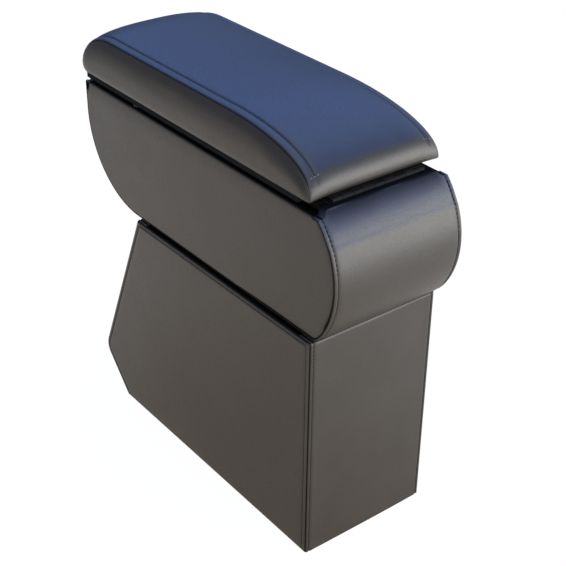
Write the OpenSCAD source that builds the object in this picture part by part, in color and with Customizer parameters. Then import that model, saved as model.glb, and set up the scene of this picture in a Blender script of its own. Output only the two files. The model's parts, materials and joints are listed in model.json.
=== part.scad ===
// Car centre armrest: a hollow base that stands on the centre tunnel, a storage box with rounded
// ends screwed on top of it, and a padded lid on a piano hinge at the rear.
// Millimetres, +X right, +Y towards the front of the car, +Z up.
// The origin is the middle of the base's underside. Profiles are drawn in the YZ plane, with
// their Y counted from the base's rear face.

/* [Base] */
// Width of the base over its leatherette
base_w = 122.6; // [110:1:170]
// Length of the base's underside
base_l = 268; // [240:1:320]
// Height of the base
base_h = 200; // [150:1:260]
// Length of the base's top, from the rear face to the top front corner
base_top_l = 233; // [215:1:250]
// How far the belly corner stands ahead of the underside
belly_out = 35; // [20:1:50]
// Height of the belly corner
belly_z = 38.5; // [30:1:55]
// Rounding of the belly corner
belly_r = 16; // [14:1:24]

/* [Storage box] */
// Width of the box over its side panels
box_w = 118; // [104:1:164]
// Height of the box, from its underside to its rim
box_h = 97.7; // [85:1:130]
// Distance from the base's rear face to the box's front end
box_front = 306; // [290:1:340]
// How far the rear end bulges behind the base
box_back = 23.5; // [18:0.5:26]
// Radius of the front end
front_r = 73; // [55:1:80]
// Radius of the rear bulge
back_r = 71; // [62:1:85]
// Height of the bulge's centre above the box's underside
back_c = 49; // [44:1:54]
// How far the rear wall and its rail rise above the rim, to carry the hinge
rear_rise = 4; // [3:0.1:4.5]
// Thickness of the spacer board between the base and the box
spacer_t = 4; // [2:0.5:8]
// How far the spacer board stays inside the base's sides
spacer_in = 7; // [4:1:12]

/* [Lid] */
// Width of the lid at its lower edge
lid_w = 120.4; // [108:1:166]
// How far each side of the lid leans in to its top seam
seam_in = 3.7; // [0:0.1:6]
// Height of the side seams above the lid's lower edge
lid_h = 33.9; // [26:1:46]
// Distance from the lid's rear edge to the base's rear face
lid_rear = 6; // [5:0.5:7]
// How far the lid's front corners reach past the box
lid_over = 4.5; // [0:0.5:8]
// How far the front edge bows out in plan
nose_bow = 10; // [8:1:24]
// How far the pad is crowned across its middle
crown = 5; // [3:0.5:12]
// Length of the slope at the rear end
roll_l = 104; // [80:1:125]
// How square the rear slope's outline is, where 2 is an ellipse
roll_square = 2.15; // [2:0.05:2.6]
// Radius of the rear slope's lower edge across its middle
roll_curl = 6.5; // [4:0.5:7]
// The same at the side seams
seam_curl = 2; // [1.5:0.5:3]
// How much further back the rear slope reaches across its middle
roll_puff = 0.5; // [0:0.5:1]
// Length of the rounding at the front end
nose_l = 42; // [30:1:60]
// Radius of the nose's lower edge
nose_curl = 8; // [5:0.5:9]
// Gap between the box's rim and the lid's lower edge
lid_gap = 7.9; // [7.5:0.1:8.5]
// Gap between the rim and the felted inner board
rim_gap = 3; // [2.6:0.1:4]
// How far the felted inner board stays inside the lid's sides
inner_in = 1.7; // [1:0.1:8]
// How far the inner board's front edge bows out
inner_bow = 1.5; // [1:0.5:4]

/* [Boards and skins] */
// Thickness of the flat boards
board_t = 8; // [6:0.5:10]
// Thickness of the bent end walls
bent_t = 4; // [3:0.5:6]
// Thickness of the leatherette with its backing
skin_t = 1.2; // [0.8:0.1:1.6]
// Width of the leatherette turned in over an edge
turn_in = 15; // [10:1:18]
// How far the band's hems stand out from the box's side panels
hem_out = 1; // [0.5:0.1:3]
// Height of the hem, measured from the outline inwards
hem_h = 1.8; // [1.4:0.1:5]
// Width of the felled seam along an upright corner
seam_strip_w = 4; // [3:0.5:6]
// Thickness of the felled seam
seam_strip_t = 0.7; // [0.4:0.1:1]
// Thickness of the felt lining
felt_t = 1.5; // [1:0.1:2.5]

/* [Hinge] */
// Length of the piano hinge
hinge_l = 85; // [55:5:95]
// Number of knuckles
knuckles = 9; // [5:2:11]
// Radius of a knuckle
knuckle_r = 1.75; // [1.6:0.05:1.8]
// Radius of the hinge pin
hinge_pin_r = 1; // [0.7:0.1:1.1]
// Thickness of a hinge leaf
leaf_t = 1; // [0.8:0.1:1.2]
// Width of a hinge leaf, from the pin
leaf_w = 15; // [14:1:17]
// Height of the rail that carries the hinge
rail_h = 18; // [14:1:24]
// Radius of a hinge screw
hinge_screw_r = 1.25; // [1:0.05:1.5]
// Length of a hinge screw
hinge_screw_l = 8; // [6:0.5:9.5]
// Distance between the hinge screws
hinge_screw_dx = 32; // [15:1:35]
// How far the knuckles lie ahead of the box's rear edge
pin_in = 2.5; // [2:0.1:4]

/* [Fixings] */
// Side of a crossbar
bar_t = 20; // [16:1:26]
// Length of a fixing bracket
bracket_l = 90; // [80:1:95]
// Width of each bracket leg
bracket_w = 30; // [26:1:36]
// Thickness of a bracket
bracket_t = 2.5; // [2:0.5:4]
// Distance between a bracket's two fixing holes
fix_dx = 60; // [40:1:62]
// Radius of a fixing hole
fix_r = 3.2; // [2:0.1:4]
// Radius of a wood screw
screw_r = 2; // [1.5:0.1:2.5]
// Length of a bracket screw
bracket_screw_l = 16; // [12:1:17]
// Distance between the joining screws across the box
join_dx = 60; // [40:1:70]
// Distance between the joining screws along the box
join_dy = 150; // [110:1:165]
// Radius of a rubber bumper
bumper_r = 3.5; // [2:0.1:3.6]

/* [Hidden] */
$fn = 96;

// Clearances
glue = 0.05; // glued faces
fit = 0.1; // round parts in their holes
pin_fit = 0.05; // hinge pin in its knuckles
soft = 0.3; // between soft parts
run = 0.3; // between parts that turn past each other
past = 1; // how far a cut runs past what it cuts

// Places across the part
base_x = base_w / 2;
board_x = base_x - skin_t - board_t;
side_x = box_w / 2;
wall_x = side_x - skin_t - board_t;
band_x = side_x + hem_out;

// Places along the part, from the base's rear face
rear_y = -base_l / 2;
bar_rear_y = skin_t + board_t + bar_t;
bar_front_y = base_l - bar_rear_y;
fix_y = bar_rear_y + (bracket_w + bracket_t) / 2;

// Heights
top_z = base_h - skin_t;
box_z = base_h + spacer_t;
floor_z = box_z + skin_t + board_t;
rim_z = box_z + box_h;
wall_top = rim_z - skin_t;
back_rim_z = rim_z + rear_rise;
pad_z = rim_z + lid_gap;
inner_z = rim_z + rim_gap;
core_z = pad_z + skin_t;
core_top = core_z + board_t;
seam_z = pad_z + lid_h;

// Centres of the box's two round ends
front_c = [box_front - front_r, box_z + front_r];
rear_c = [back_r - box_back, box_z + back_c];

// Hinge: its leaves lie on the rail and under the pad
pin_z = (back_rim_z + pad_z) / 2;
back_y = rear_c.x - sqrt(pow(back_r, 2) - pow(back_rim_z - rear_c.y, 2));
pin_y = back_y + pin_in + knuckle_r;
rail_y = pin_y + leaf_w + 1;
leaf_z = [back_rim_z, pad_z - leaf_t];
head_z = [back_rim_z + leaf_t, pad_z - leaf_t];
knuckle_l = hinge_l / knuckles;
leaf_edge = 4; // from the screws to the free edge of a leaf

// Half the lid's width at height z
function lid_x(z) = lid_w / 2 - seam_in * (z - pad_z) / lid_h;

// Extrudes a YZ profile from x0 to x1
module across(x0, x1) {
    translate([x0, rear_y, 0])
        rotate([90, 0, 90])
            linear_extrude(x1 - x0)
                children();
}

// Moves a solid whose Y is counted from the base's rear face
module from_rear() {
    translate([0, rear_y, 0])
        children();
}

// The same part on the left (-1) or on the right (1)
module on_side(side) {
    if (side < 0)
        mirror([1, 0, 0])
            children();
    else
        children();
}

module keep(y0, y1, z0, z1) {
    translate([y0, z0])
        square([y1 - y0, z1 - z0]);
}

// A corner of an outline, with its two edges moved in by d0 and d1
function unit(v) = v / norm(v);
function left_of(v) = [-v.y, v.x];
function inset_corner(a, b, c, d0, d1) =
    let (u = unit(b - a), v = unit(c - b))
    let (p = b + left_of(u) * d0, q = b + left_of(v) * d1)
    p + u * cross(q - p, v) / cross(u, v);
function inset_outline(pts, d) =
    let (n = len(pts))
    [for (i = [0:n - 1])
        inset_corner(pts[(i + n - 1) % n], pts[i], pts[(i + 1) % n], d[(i + n - 1) % n], d[i])];

// The points of a rounded corner b between a and c
function round_corner(a, b, c, r, steps) =
    let (u = unit(a - b), v = unit(c - b))
    let (half = acos(u * v) / 2)
    let (centre = b + unit(u + v) * r / sin(half))
    let (start = b + u * r / tan(half) - centre)
    let (turn = 180 - 2 * half)
    [for (i = [0:steps])
        let (t = turn * i / steps)
        centre + [start.x * cos(t) - start.y * sin(t), start.x * sin(t) + start.y * cos(t)]];

// Base

base_corners = [
    [0, 0], [base_l, 0], [base_l + belly_out, belly_z], [base_top_l, base_h], [0, base_h]
];

// The base's side outline, moved in by d everywhere but at the open underside
module base_outline(d) {
    p = inset_outline(base_corners, [0, d, d, d, d]);
    polygon(concat([p[0], p[1]], round_corner(p[1], p[2], p[3], belly_r - d, 10), [p[3], p[4]]));
}

// The wall between two insets of the base's outline
module base_ring(d, t) {
    difference() {
        base_outline(d);
        base_outline(d + t);
    }
}

module base_side(side) {
    color("burlywood")
        on_side(side)
            across(board_x, base_x - skin_t)
                base_outline(skin_t);
}

module base_rear_panel() {
    color("burlywood")
        across(-board_x + glue, board_x - glue)
            keep(skin_t, skin_t + board_t, 0, top_z - board_t - glue);
}

module base_front_panel() {
    color("burlywood")
        across(-board_x + glue, board_x - glue)
            intersection() {
                base_ring(skin_t, board_t);
                keep(base_l / 2, base_l + belly_out, belly_z, top_z - board_t - glue);
            }
}

module base_toe_panel() {
    color("burlywood")
        across(-board_x + glue, board_x - glue)
            intersection() {
                base_ring(skin_t, board_t);
                keep(base_l / 2, base_l + belly_out, 0, belly_z - glue);
            }
}

module base_top_panel() {
    color("burlywood")
        difference() {
            across(-board_x + glue, board_x - glue)
                intersection() {
                    base_outline(skin_t);
                    keep(0, base_l, top_z - board_t, top_z);
                }
            at_joining_screws()
                cylinder(h = 2 * board_t, r = screw_r + fit, center = true);
        }
}

module rear_crossbar() {
    color("burlywood")
        difference() {
            across(-board_x + glue, board_x - glue)
                keep(skin_t + board_t + glue, bar_rear_y, 0, bar_t);
            bracket_screw_holes(-1);
        }
}

// Its front face is bevelled to the toe panel
module front_crossbar() {
    color("burlywood")
        difference() {
            across(-board_x + glue, board_x - glue)
                intersection() {
                    base_outline(skin_t + board_t + glue);
                    keep(bar_front_y, base_l + belly_out, 0, bar_t);
                }
            bracket_screw_holes(1);
        }
}

// Side leatherette with its turned-in top edge
module base_cover_side(side) {
    color([0.16, 0.15, 0.15])
        on_side(side) {
            across(base_x - skin_t, base_x)
                base_outline(0);
            across(board_x, base_x - skin_t)
                keep(turn_in + glue, base_top_l - turn_in - skin_t - glue, top_z, base_h);
            across(base_x, base_x + seam_strip_t)
                difference() {
                    base_outline(0);
                    keep(seam_strip_w, base_l + belly_out, -past, base_h - seam_strip_w);
                }
        }
}

module base_cover_rear() {
    color([0.16, 0.15, 0.15]) {
        across(-base_x + skin_t + glue, base_x - skin_t - glue)
            intersection() {
                base_ring(0, skin_t);
                keep(-past, turn_in, 0, base_h);
            }
        for (side = [-1, 1])
            on_side(side)
                across(base_x - seam_strip_w, base_x)
                    keep(-seam_strip_t, 0, 0, base_h);
    }
}

module base_cover_front() {
    color([0.16, 0.15, 0.15])
        across(-base_x + skin_t + glue, base_x - skin_t - glue)
            intersection() {
                base_ring(0, skin_t);
                keep(base_top_l - turn_in, base_l + belly_out, 0, base_h);
            }
}

// Brackets

// Puts a bracket's own parts at the rear (-1) or front (1) crossbar, with +Y away from the bar
module at_bar(end) {
    if (end < 0)
        from_rear()
            translate([0, bar_rear_y, 0])
                children();
    else
        from_rear()
            translate([0, bar_front_y, 0])
                mirror([0, 1, 0])
                    children();
}

module bracket_screw_holes(end) {
    at_bar(end)
        for (x = [-fix_dx / 2, fix_dx / 2])
            translate([x, past, bar_t / 2])
                rotate([90, 0, 0])
                    cylinder(h = bracket_screw_l + 2 * past, r = screw_r + fit);
}

module bracket(end) {
    color("silver")
        at_bar(end)
            difference() {
                union() {
                    translate([-bracket_l / 2, 0, 0])
                        cube([bracket_l, bracket_t, bracket_w]);
                    translate([-bracket_l / 2, 0, 0])
                        cube([bracket_l, bracket_w, bracket_t]);
                }
                for (x = [-fix_dx / 2, fix_dx / 2]) {
                    translate([x, fix_y - bar_rear_y, -past])
                        cylinder(h = bracket_t + 2 * past, r = fix_r);
                    translate([x, bracket_t + past, bar_t / 2])
                        rotate([90, 0, 0])
                            cylinder(h = bracket_t + 2 * past, r = screw_r + fit);
                }
            }
}

// Pan head screws that hold the brackets to the crossbars
module bracket_screws() {
    color("silver")
        for (end = [-1, 1])
            at_bar(end)
                for (x = [-fix_dx / 2, fix_dx / 2])
                    translate([x, bracket_t, bar_t / 2])
                        rotate([90, 0, 0]) {
                            cylinder(h = bracket_screw_l, r = screw_r);
                            translate([0, 0, -screw_r])
                                cylinder(h = screw_r, r1 = screw_r, r2 = 2 * screw_r);
                        }
}

// Box

// The box's side outline, moved in by d, up to the height top
module box_outline(d, top) {
    intersection() {
        union() {
            translate(rear_c)
                circle(back_r - d);
            translate(front_c)
                circle(front_r - d);
            keep(rear_c.x, front_c.x, box_z + d, top);
            keep(rear_c.x, box_front - d, front_c.y, top + past);
        }
        keep(-box_back - past, box_front + past, box_z + d, top);
    }
}

// The zone of the flat floor board, between the bent ends
module floor_zone() {
    d = skin_t + bent_t;
    rise = floor_z - rear_c.y;
    y0 = rear_c.x - sqrt(pow(back_r - d, 2) - pow(rise, 2));
    y1 = front_c.x + sqrt(pow(front_r - d, 2) - pow(front_c.y - floor_z, 2));
    keep(y0, y1, box_z, floor_z);
}

module at_joining_screws() {
    for (x = [-join_dx / 2, join_dx / 2])
        for (y = [-join_dy / 2, join_dy / 2])
            from_rear()
                translate([x, base_top_l / 2 + y, top_z])
                    children();
}

// Leatherette-covered board that keeps the box just clear of the base
module spacer_board() {
    color([0.1, 0.1, 0.1])
        difference() {
            across(-base_x + spacer_in, base_x - spacer_in)
                keep(spacer_in, base_top_l - spacer_in, base_h, box_z);
            at_joining_screws()
                cylinder(h = 4 * spacer_t + 4 * skin_t, r = screw_r + fit, center = true);
        }
}

module box_floor() {
    color("burlywood")
        difference() {
            across(-wall_x + glue, wall_x - glue)
                intersection() {
                    box_outline(skin_t, floor_z);
                    floor_zone();
                }
            at_joining_screws()
                joining_screw(fit);
        }
}

module box_side(side) {
    color("burlywood")
        on_side(side)
            across(wall_x, side_x - skin_t)
                box_outline(skin_t + glue, wall_top);
}

// A bent end wall, from the floor board up to the height top
module end_wall(y0, y1, top) {
    intersection() {
        difference() {
            box_outline(skin_t + glue, top);
            box_outline(skin_t + bent_t, top + past);
            floor_zone();
        }
        keep(y0, y1, box_z, top);
    }
}

module box_front_wall() {
    color("burlywood")
        across(-wall_x + glue, wall_x - glue)
            end_wall(front_c.x, box_front, wall_top);
}

module box_rear_wall() {
    color("burlywood")
        across(-wall_x + glue, wall_x - glue)
            end_wall(-box_back, rear_c.x, back_rim_z - skin_t);
}

module rail_zone(grow) {
    keep(-box_back, rail_y + grow, back_rim_z - rail_h - grow, back_rim_z + past);
}

module hinge_rail() {
    color("burlywood")
        difference() {
            across(-wall_x + glue, wall_x - glue)
                intersection() {
                    box_outline(skin_t + bent_t + glue, back_rim_z);
                    rail_zone(0);
                }
            hinge_screw_set(0, fit);
        }
}

// Side leatherette with its edge turned in over the board's top
module box_cover_side(side) {
    color([0.16, 0.15, 0.15])
        on_side(side) {
            across(side_x - skin_t, side_x) {
                box_outline(skin_t + glue, wall_top - glue);
                box_outline(skin_t + bent_t + glue, rim_z);
            }
            across(wall_x, side_x - skin_t)
                intersection() {
                    box_outline(skin_t + bent_t + glue, rim_z);
                    keep(-box_back, box_front, wall_top, rim_z);
                }
        }
}

// The band's section: a skin with its edges turned in over the end walls
module band_outline(top) {
    difference() {
        box_outline(0, top);
        box_outline(skin_t, top - skin_t);
        box_outline(skin_t + bent_t, top + past);
    }
}

// One band of leatherette runs from the front rim under the box to the rear rim, where it rises
// behind the hinge between the side boards. Its hems stand out along both sides.
module box_band_cover() {
    color([0.16, 0.15, 0.15])
        difference() {
            union() {
                across(-band_x, band_x)
                    difference() {
                        band_outline(rim_z);
                        keep(-box_back, rear_c.x, wall_top, rim_z);
                    }
                for (side = [-1, 1])
                    on_side(side)
                        across(wall_x, band_x)
                            intersection() {
                                band_outline(rim_z);
                                keep(-box_back, rear_c.x, wall_top - past, rim_z);
                            }
                across(-wall_x, wall_x)
                    intersection() {
                        band_outline(back_rim_z);
                        keep(-box_back, rear_c.x, rear_c.y, back_rim_z);
                    }
                for (side = [-1, 1])
                    on_side(side)
                        across(side_x + glue, band_x)
                            difference() {
                                box_outline(0, rim_z);
                                box_outline(hem_h, rim_z + past);
                            }
            }
            at_joining_screws()
                cylinder(h = 4 * spacer_t + 4 * skin_t, r = screw_r + fit, center = true);
        }
}

// Felt that lines the walls, the floor and the rail
module box_lining() {
    color([0.09, 0.09, 0.1])
        difference() {
            across(-wall_x + glue, wall_x - glue)
                lining_outline(0);
            across(-wall_x + felt_t, wall_x - felt_t)
                lining_outline(felt_t);
        }
}

module lining_outline(grow) {
    difference() {
        box_outline(skin_t + bent_t + glue + grow, wall_top + grow);
        keep(-box_back, box_front, box_z, floor_z + glue + grow);
        rail_zone(glue + grow);
    }
}

// Countersunk wood screw from the floor board into the base's top panel
join_l = floor_z - top_z + board_t - 1;
module joining_screw(grow) {
    translate([0, 0, floor_z - top_z - join_l])
        cylinder(h = join_l, r = screw_r + grow);
    translate([0, 0, floor_z - top_z - screw_r])
        cylinder(h = screw_r, r1 = screw_r + grow, r2 = 2 * screw_r + grow);
}

module joining_screws() {
    color("silver")
        at_joining_screws()
            joining_screw(0);
}

// Rubber stops on the rim, near the lid's front end
module bumper(side) {
    color([0.05, 0.05, 0.05])
        on_side(side)
            from_rear()
                translate([wall_x + board_t / 2, front_c.x, rim_z])
                    cylinder(h = rim_gap - fit, r = bumper_r);
}

// Hinge

// Leaf 0 is screwed to the rail, leaf 1 under the lid
module hinge_leaf(leaf) {
    z = leaf_z[leaf];
    stem_z = leaf == 0 ? z : pin_z;
    stem_top = leaf == 0 ? pin_z : z + leaf_t;
    color("silver")
        difference() {
            union() {
                from_rear()
                    translate([-hinge_l / 2, pin_y + knuckle_r + run, z])
                        cube([hinge_l, leaf_w - knuckle_r - run, leaf_t]);
                for (i = [leaf:2:knuckles - 1])
                    from_rear()
                        translate([-hinge_l / 2 + i * knuckle_l + run / 2, pin_y, 0]) {
                            translate([0, 0, pin_z])
                                rotate([0, 90, 0])
                                    cylinder(h = knuckle_l - run, r = knuckle_r);
                            translate([0, 0, z])
                                cube([knuckle_l - run, knuckle_r + 2 * run, leaf_t]);
                            translate([0, 0, stem_z])
                                cube([knuckle_l - run, knuckle_r / 2, stem_top - stem_z]);
                        }
            }
            from_rear()
                translate([-hinge_l / 2 - past, pin_y, pin_z])
                    rotate([0, 90, 0])
                        cylinder(h = hinge_l + 2 * past, r = hinge_pin_r + pin_fit);
            hinge_screw_set(leaf, fit);
        }
}

module hinge_pin() {
    color("silver")
        from_rear()
            translate([-hinge_l / 2, pin_y, pin_z])
                rotate([0, 90, 0])
                    cylinder(h = hinge_l, r = hinge_pin_r);
}

// Countersunk screw, head up, with the top of its head at z = 0
module hinge_screw(grow) {
    translate([0, 0, -hinge_screw_l])
        cylinder(h = hinge_screw_l, r = hinge_screw_r + grow);
    translate([0, 0, -leaf_t])
        cylinder(h = leaf_t, r1 = hinge_screw_r + grow, r2 = 2 * hinge_screw_r + grow);
}

// The screws of leaf 0 or 1, or their holes where grow is a clearance
module hinge_screw_set(leaf, grow) {
    for (i = [-1:1])
        from_rear()
            translate([i * hinge_screw_dx, pin_y + leaf_w - leaf_edge, head_z[leaf]])
                mirror([0, 0, leaf])
                    hinge_screw(grow);
}

module hinge_screws(leaf) {
    color("silver")
        hinge_screw_set(leaf, 0);
}

// Lid

// Plan outline of a lid board: straight at the rear and bowed at the front
module lid_plan(half, y0, y1, bow) {
    r = (half * half + bow * bow) / (2 * bow);
    intersection() {
        translate([-half, y0])
            square([2 * half, y1 + bow - y0]);
        translate([0, y1 + bow - r])
            union() {
                circle(r);
                translate([-half, y0 - y1 - bow])
                    square([2 * half, y1 + bow - y0]);
            }
    }
}

lid_front = box_front + lid_over;

// Felted board under the lid: its edge is the black line between the lid and the box
module lid_inner_board() {
    color([0.05, 0.05, 0.05])
        from_rear()
            translate([0, 0, inner_z])
                linear_extrude(pad_z - inner_z)
                    lid_plan(lid_w / 2 - inner_in, rail_y + 2 * run, box_front - inner_bow, inner_bow);
}

// Plywood board inside the pad
module lid_core_board() {
    color("burlywood")
        difference() {
            from_rear()
                translate([0, 0, core_z])
                    linear_extrude(board_t)
                        lid_plan(
                            lid_x(core_top) - skin_t - glue,
                            lid_rear - roll_puff + roll_curl + glue,
                            lid_front - nose_curl - glue,
                            nose_bow
                        );
            hinge_screw_set(1, fit);
        }
}

// The pad's side outline is a squarish quarter ellipse at the rear, a straight top, a quarter
// ellipse at the nose and a small round under both ends. Across its middle the pad follows a
// fuller outline of the same kind.
roll_y = lid_rear + roll_l;
roll_seam = [lid_rear, pad_z + seam_curl, seam_curl, seam_z];
roll_middle = [lid_rear - roll_puff, pad_z + roll_curl, roll_curl, seam_z + crown];
nose_c = [lid_front - nose_l, pad_z + nose_curl];
roll_steps = 12;
top_steps = 4;
nose_steps = 8;
curl_steps = 4;
edge_cross = 5;
top_cross = 3;

// How far round the rear slope, inset by d, the height z lies at the seam
function roll_turn(d, z) =
    asin(pow(max(0, z - roll_seam[1]) / (seam_z - d - roll_seam[1]), roll_square / 2));

// A point of an outline of the rear slope, inset by d: on its curl below t = 0, else above it
function roll_point(o, d, t) =
    t < 0
    ? [o[0] + o[2] - (o[2] - d) * cos(t), o[1] + (o[2] - d) * sin(t)]
    : [roll_y - (roll_y - o[0] - d) * pow(cos(t), 2 / roll_square),
        o[1] + (o[3] - d - o[1]) * pow(sin(t), 2 / roll_square)];

// A station across the pad: its Y and Z at the seam, its bulge in Y and Z, and how squarely the
// bulge rises from the seams
function roll_station(d, t) =
    let (seam = roll_point(roll_seam, d, t), middle = roll_point(roll_middle, d, t))
    [seam.x, seam.y, middle.x - seam.x, middle.y - seam.y,
        top_cross + (edge_cross - top_cross) * cos(max(0, t))];
function top_station(d, y) = [y, seam_z - d, 0, crown, top_cross];
function nose_station(d, t) =
    let (bulge = crown + (nose_bow - crown) * cos(t))
    [nose_c.x + (nose_l - d) * cos(t), nose_c.y + (lid_h - nose_curl - d) * sin(t),
        cos(t) * bulge, sin(t) * bulge, top_cross];
function curl_station(d, t) =
    [lid_front - nose_curl + (nose_curl - d) * cos(t), nose_c.y - (nose_curl - d) * sin(t),
        nose_bow, 0, top_cross];

// Stations above the height z, from the rear to the front, for the surface d inside the pad
function upper_stations(d, z) =
    let (t0 = roll_turn(d, z))
    let (t1 = asin(max(0, z - nose_c.y) / (lid_h - nose_curl - d)))
    concat(
        [for (i = [0:roll_steps]) roll_station(d, t0 + (90 - t0) * i / roll_steps)],
        [for (i = [1:top_steps - 1])
            top_station(d, roll_y + (nose_c.x - roll_y) * i / top_steps)],
        [for (i = [0:nose_steps]) nose_station(d, 90 - (90 - t1) * i / nose_steps)]
    );

// Stations round the whole side outline
function side_stations(d) =
    concat(
        [for (i = [0:curl_steps - 1]) roll_station(d, -90 + 90 * i / curl_steps)],
        upper_stations(d, pad_z + d),
        [for (i = [1:curl_steps]) curl_station(d, 90 * i / curl_steps)]
    );

// The same, with the leatherette's turned-in edges at both ends
function cover_stations(d) =
    concat(
        [[lid_rear + turn_in, pad_z + d, 0, 0, top_cross]],
        side_stations(d),
        [[lid_front - turn_in, pad_z + d, nose_bow, 0, top_cross]]
    );

// Points across one station, for the half width w
cross_steps = 14;
function across_station(s, w) =
    [for (j = [0:cross_steps])
        let (f = 2 * j / cross_steps - 1)
        let (bulge = 1 - pow(abs(f), s[4]))
        [w * f, s[0] + s[2] * bulge, s[1] + s[3] * bulge]];

// A closed solid between an outer and an inner grid of points
module shell_between(outer, inner) {
    rows = len(outer);
    cols = cross_steps + 1;
    grid = rows * cols;
    points = concat([for (row = outer) each row], [for (row = inner) each row]);
    faces = concat(
        [for (i = [0:rows - 2]) for (j = [0:cols - 2])
            let (a = i * cols + j)
            each [[a, a + cols, a + 1], [a + 1, a + cols, a + cols + 1]]],
        [for (i = [0:rows - 2]) for (j = [0:cols - 2])
            let (a = grid + i * cols + j)
            each [[a, a + 1, a + cols], [a + 1, a + cols + 1, a + cols]]],
        [for (i = [0:rows - 2])
            let (a = i * cols, b = a + cols - 1)
            each [[a, grid + a, a + cols], [a + cols, grid + a, grid + a + cols],
                [b, b + cols, grid + b], [b + cols, grid + b + cols, grid + b]]],
        [for (j = [0:cols - 2])
            let (a = j, b = (rows - 1) * cols + j)
            each [[a, a + 1, grid + a], [a + 1, grid + a + 1, grid + a],
                [b, grid + b, b + 1], [b + 1, grid + b, grid + b + 1]]]
    );
    from_rear()
        polyhedron(points, faces);
}

// Leatherette over the nose, the top and the rear slope, between the two seams
module lid_top_cover() {
    color([0.2, 0.22, 0.27])
        difference() {
            shell_between(
                [for (s = cover_stations(0)) across_station(s, lid_x(s[1]) - skin_t - glue)],
                [for (s = cover_stations(skin_t)) across_station(s, lid_x(s[1]) - skin_t - glue)]
            );
            hinge_screw_set(1, fit);
        }
}

// Foam pad between the core board and the cover
module lid_foam() {
    inset = skin_t + soft;
    low = core_top + glue;
    foot_x = lid_x(core_top) - inset;
    rows = [for (s = upper_stations(inset, low)) across_station(s, lid_x(s[1]) - inset)];
    color("khaki")
        shell_between(
            [for (row = rows) [for (p = row) [p.x, p.y, max(p.z, low + soft)]]],
            [for (row = rows)
                [for (j = [0:cross_steps]) [foot_x * (2 * j / cross_steps - 1), row[j].y, low]]]
        );
}

// Flat side panel of the pad, leaning in from the lower edge to the seam
module lid_gusset(side) {
    lean = atan(seam_in / lid_h);
    color([0.14, 0.14, 0.14])
        on_side(side) {
            from_rear()
                translate([lid_w / 2 - turn_in, lid_rear + turn_in + glue, pad_z])
                    cube([turn_in - skin_t / 2, lid_front - lid_rear - 2 * turn_in - 2 * glue, skin_t]);
            translate([lid_w / 2, rear_y, pad_z])
                rotate([0, -lean, 0])
                    translate([-skin_t, 0, 0])
                        rotate([90, 0, 90])
                            linear_extrude(skin_t)
                                polygon([for (s = side_stations(0)) [s[0], (s[1] - pad_z) / cos(lean)]]);
        }
}

base_side(-1);  // base_side_left
base_side(1);  // base_side_right
base_rear_panel();
base_front_panel();
base_toe_panel();
base_top_panel();
rear_crossbar();
front_crossbar();
base_cover_side(-1);  // base_cover_left
base_cover_side(1);  // base_cover_right
base_cover_rear();
base_cover_front();
bracket(-1);  // rear_bracket
bracket(1);  // front_bracket
bracket_screws();
spacer_board();
box_floor();
box_side(-1);  // box_side_left
box_side(1);  // box_side_right
box_front_wall();
box_rear_wall();
hinge_rail();
joining_screws();
box_cover_side(-1);  // box_cover_left
box_cover_side(1);  // box_cover_right
box_band_cover();
box_lining();
bumper(-1);  // bumper_left
bumper(1);  // bumper_right
hinge_leaf(0);  // hinge_leaf_box
hinge_leaf(1);  // hinge_leaf_lid
hinge_pin();
hinge_screws(0);  // hinge_screws_box
hinge_screws(1);  // hinge_screws_lid
lid_inner_board();
lid_core_board();
lid_foam();
lid_top_cover();
lid_gusset(-1);  // lid_gusset_left
lid_gusset(1);  // lid_gusset_right
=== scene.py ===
import json
import math

import bmesh
import bpy
import numpy as np
from mathutils import Matrix, Vector, geometry, noise


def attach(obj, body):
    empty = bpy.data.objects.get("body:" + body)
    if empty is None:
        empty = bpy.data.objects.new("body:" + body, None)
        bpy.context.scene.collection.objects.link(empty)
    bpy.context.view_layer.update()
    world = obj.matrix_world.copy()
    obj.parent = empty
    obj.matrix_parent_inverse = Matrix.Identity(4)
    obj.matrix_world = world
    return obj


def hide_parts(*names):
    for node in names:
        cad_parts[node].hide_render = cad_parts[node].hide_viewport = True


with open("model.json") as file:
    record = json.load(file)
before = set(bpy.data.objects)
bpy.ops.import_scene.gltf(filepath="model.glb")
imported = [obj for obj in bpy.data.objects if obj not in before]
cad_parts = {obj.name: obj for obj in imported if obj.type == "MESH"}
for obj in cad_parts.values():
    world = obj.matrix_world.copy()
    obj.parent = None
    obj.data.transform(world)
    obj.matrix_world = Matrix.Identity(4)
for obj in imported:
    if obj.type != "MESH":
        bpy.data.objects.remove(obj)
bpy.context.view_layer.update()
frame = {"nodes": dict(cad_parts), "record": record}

# Lengths are millimetres in the outlines and metres in the meshes. Outlines lie in the YZ plane,
# with Y counted from the base's rear face, as in the part's source. Half widths end in _X.
MM = 0.001
REAR_Y = -134.0
SKIN = 1.15

BASE_X = 61.3
BASE_TOP = 200.0
BASE_CORNERS = [(0, 0), (268, 0), (303, 38.5), (233, BASE_TOP), (0, BASE_TOP)]
BELLY_R = 16.0

SIDE_X = 59.0
BAND_X = 60.0
WALL_X = 49.8
HINGE_X = 43.0
BOX_Z = 204.0
RIM_Z = 301.7
BACK_RIM_Z = 305.7
BOX_FRONT = 306.0
FRONT_C, FRONT_R = (233.0, 277.0), 73.0
REAR_C, REAR_R = (47.5, 253.0), 71.0

# The foot of the rear bulge: how it is rounded, where in degrees that starts on the bulge, and
# a place on the underside that it runs to
FOOT_R, FOOT_ARC, FOOT_TO = 10.0, 8.0, (60.0, BOX_Z)

PAD_Z = 309.6
LID_X = 60.2
LEAN_IN = 3.7
LID_H = 33.9
SEAM_Z = PAD_Z + LID_H
SEAM_IN = 0.3
LID_REAR = 6.0
LID_FRONT = 310.5
CROWN = 5.0
NOSE_BOW = 10.0
TURN_IN = 15.0

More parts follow.
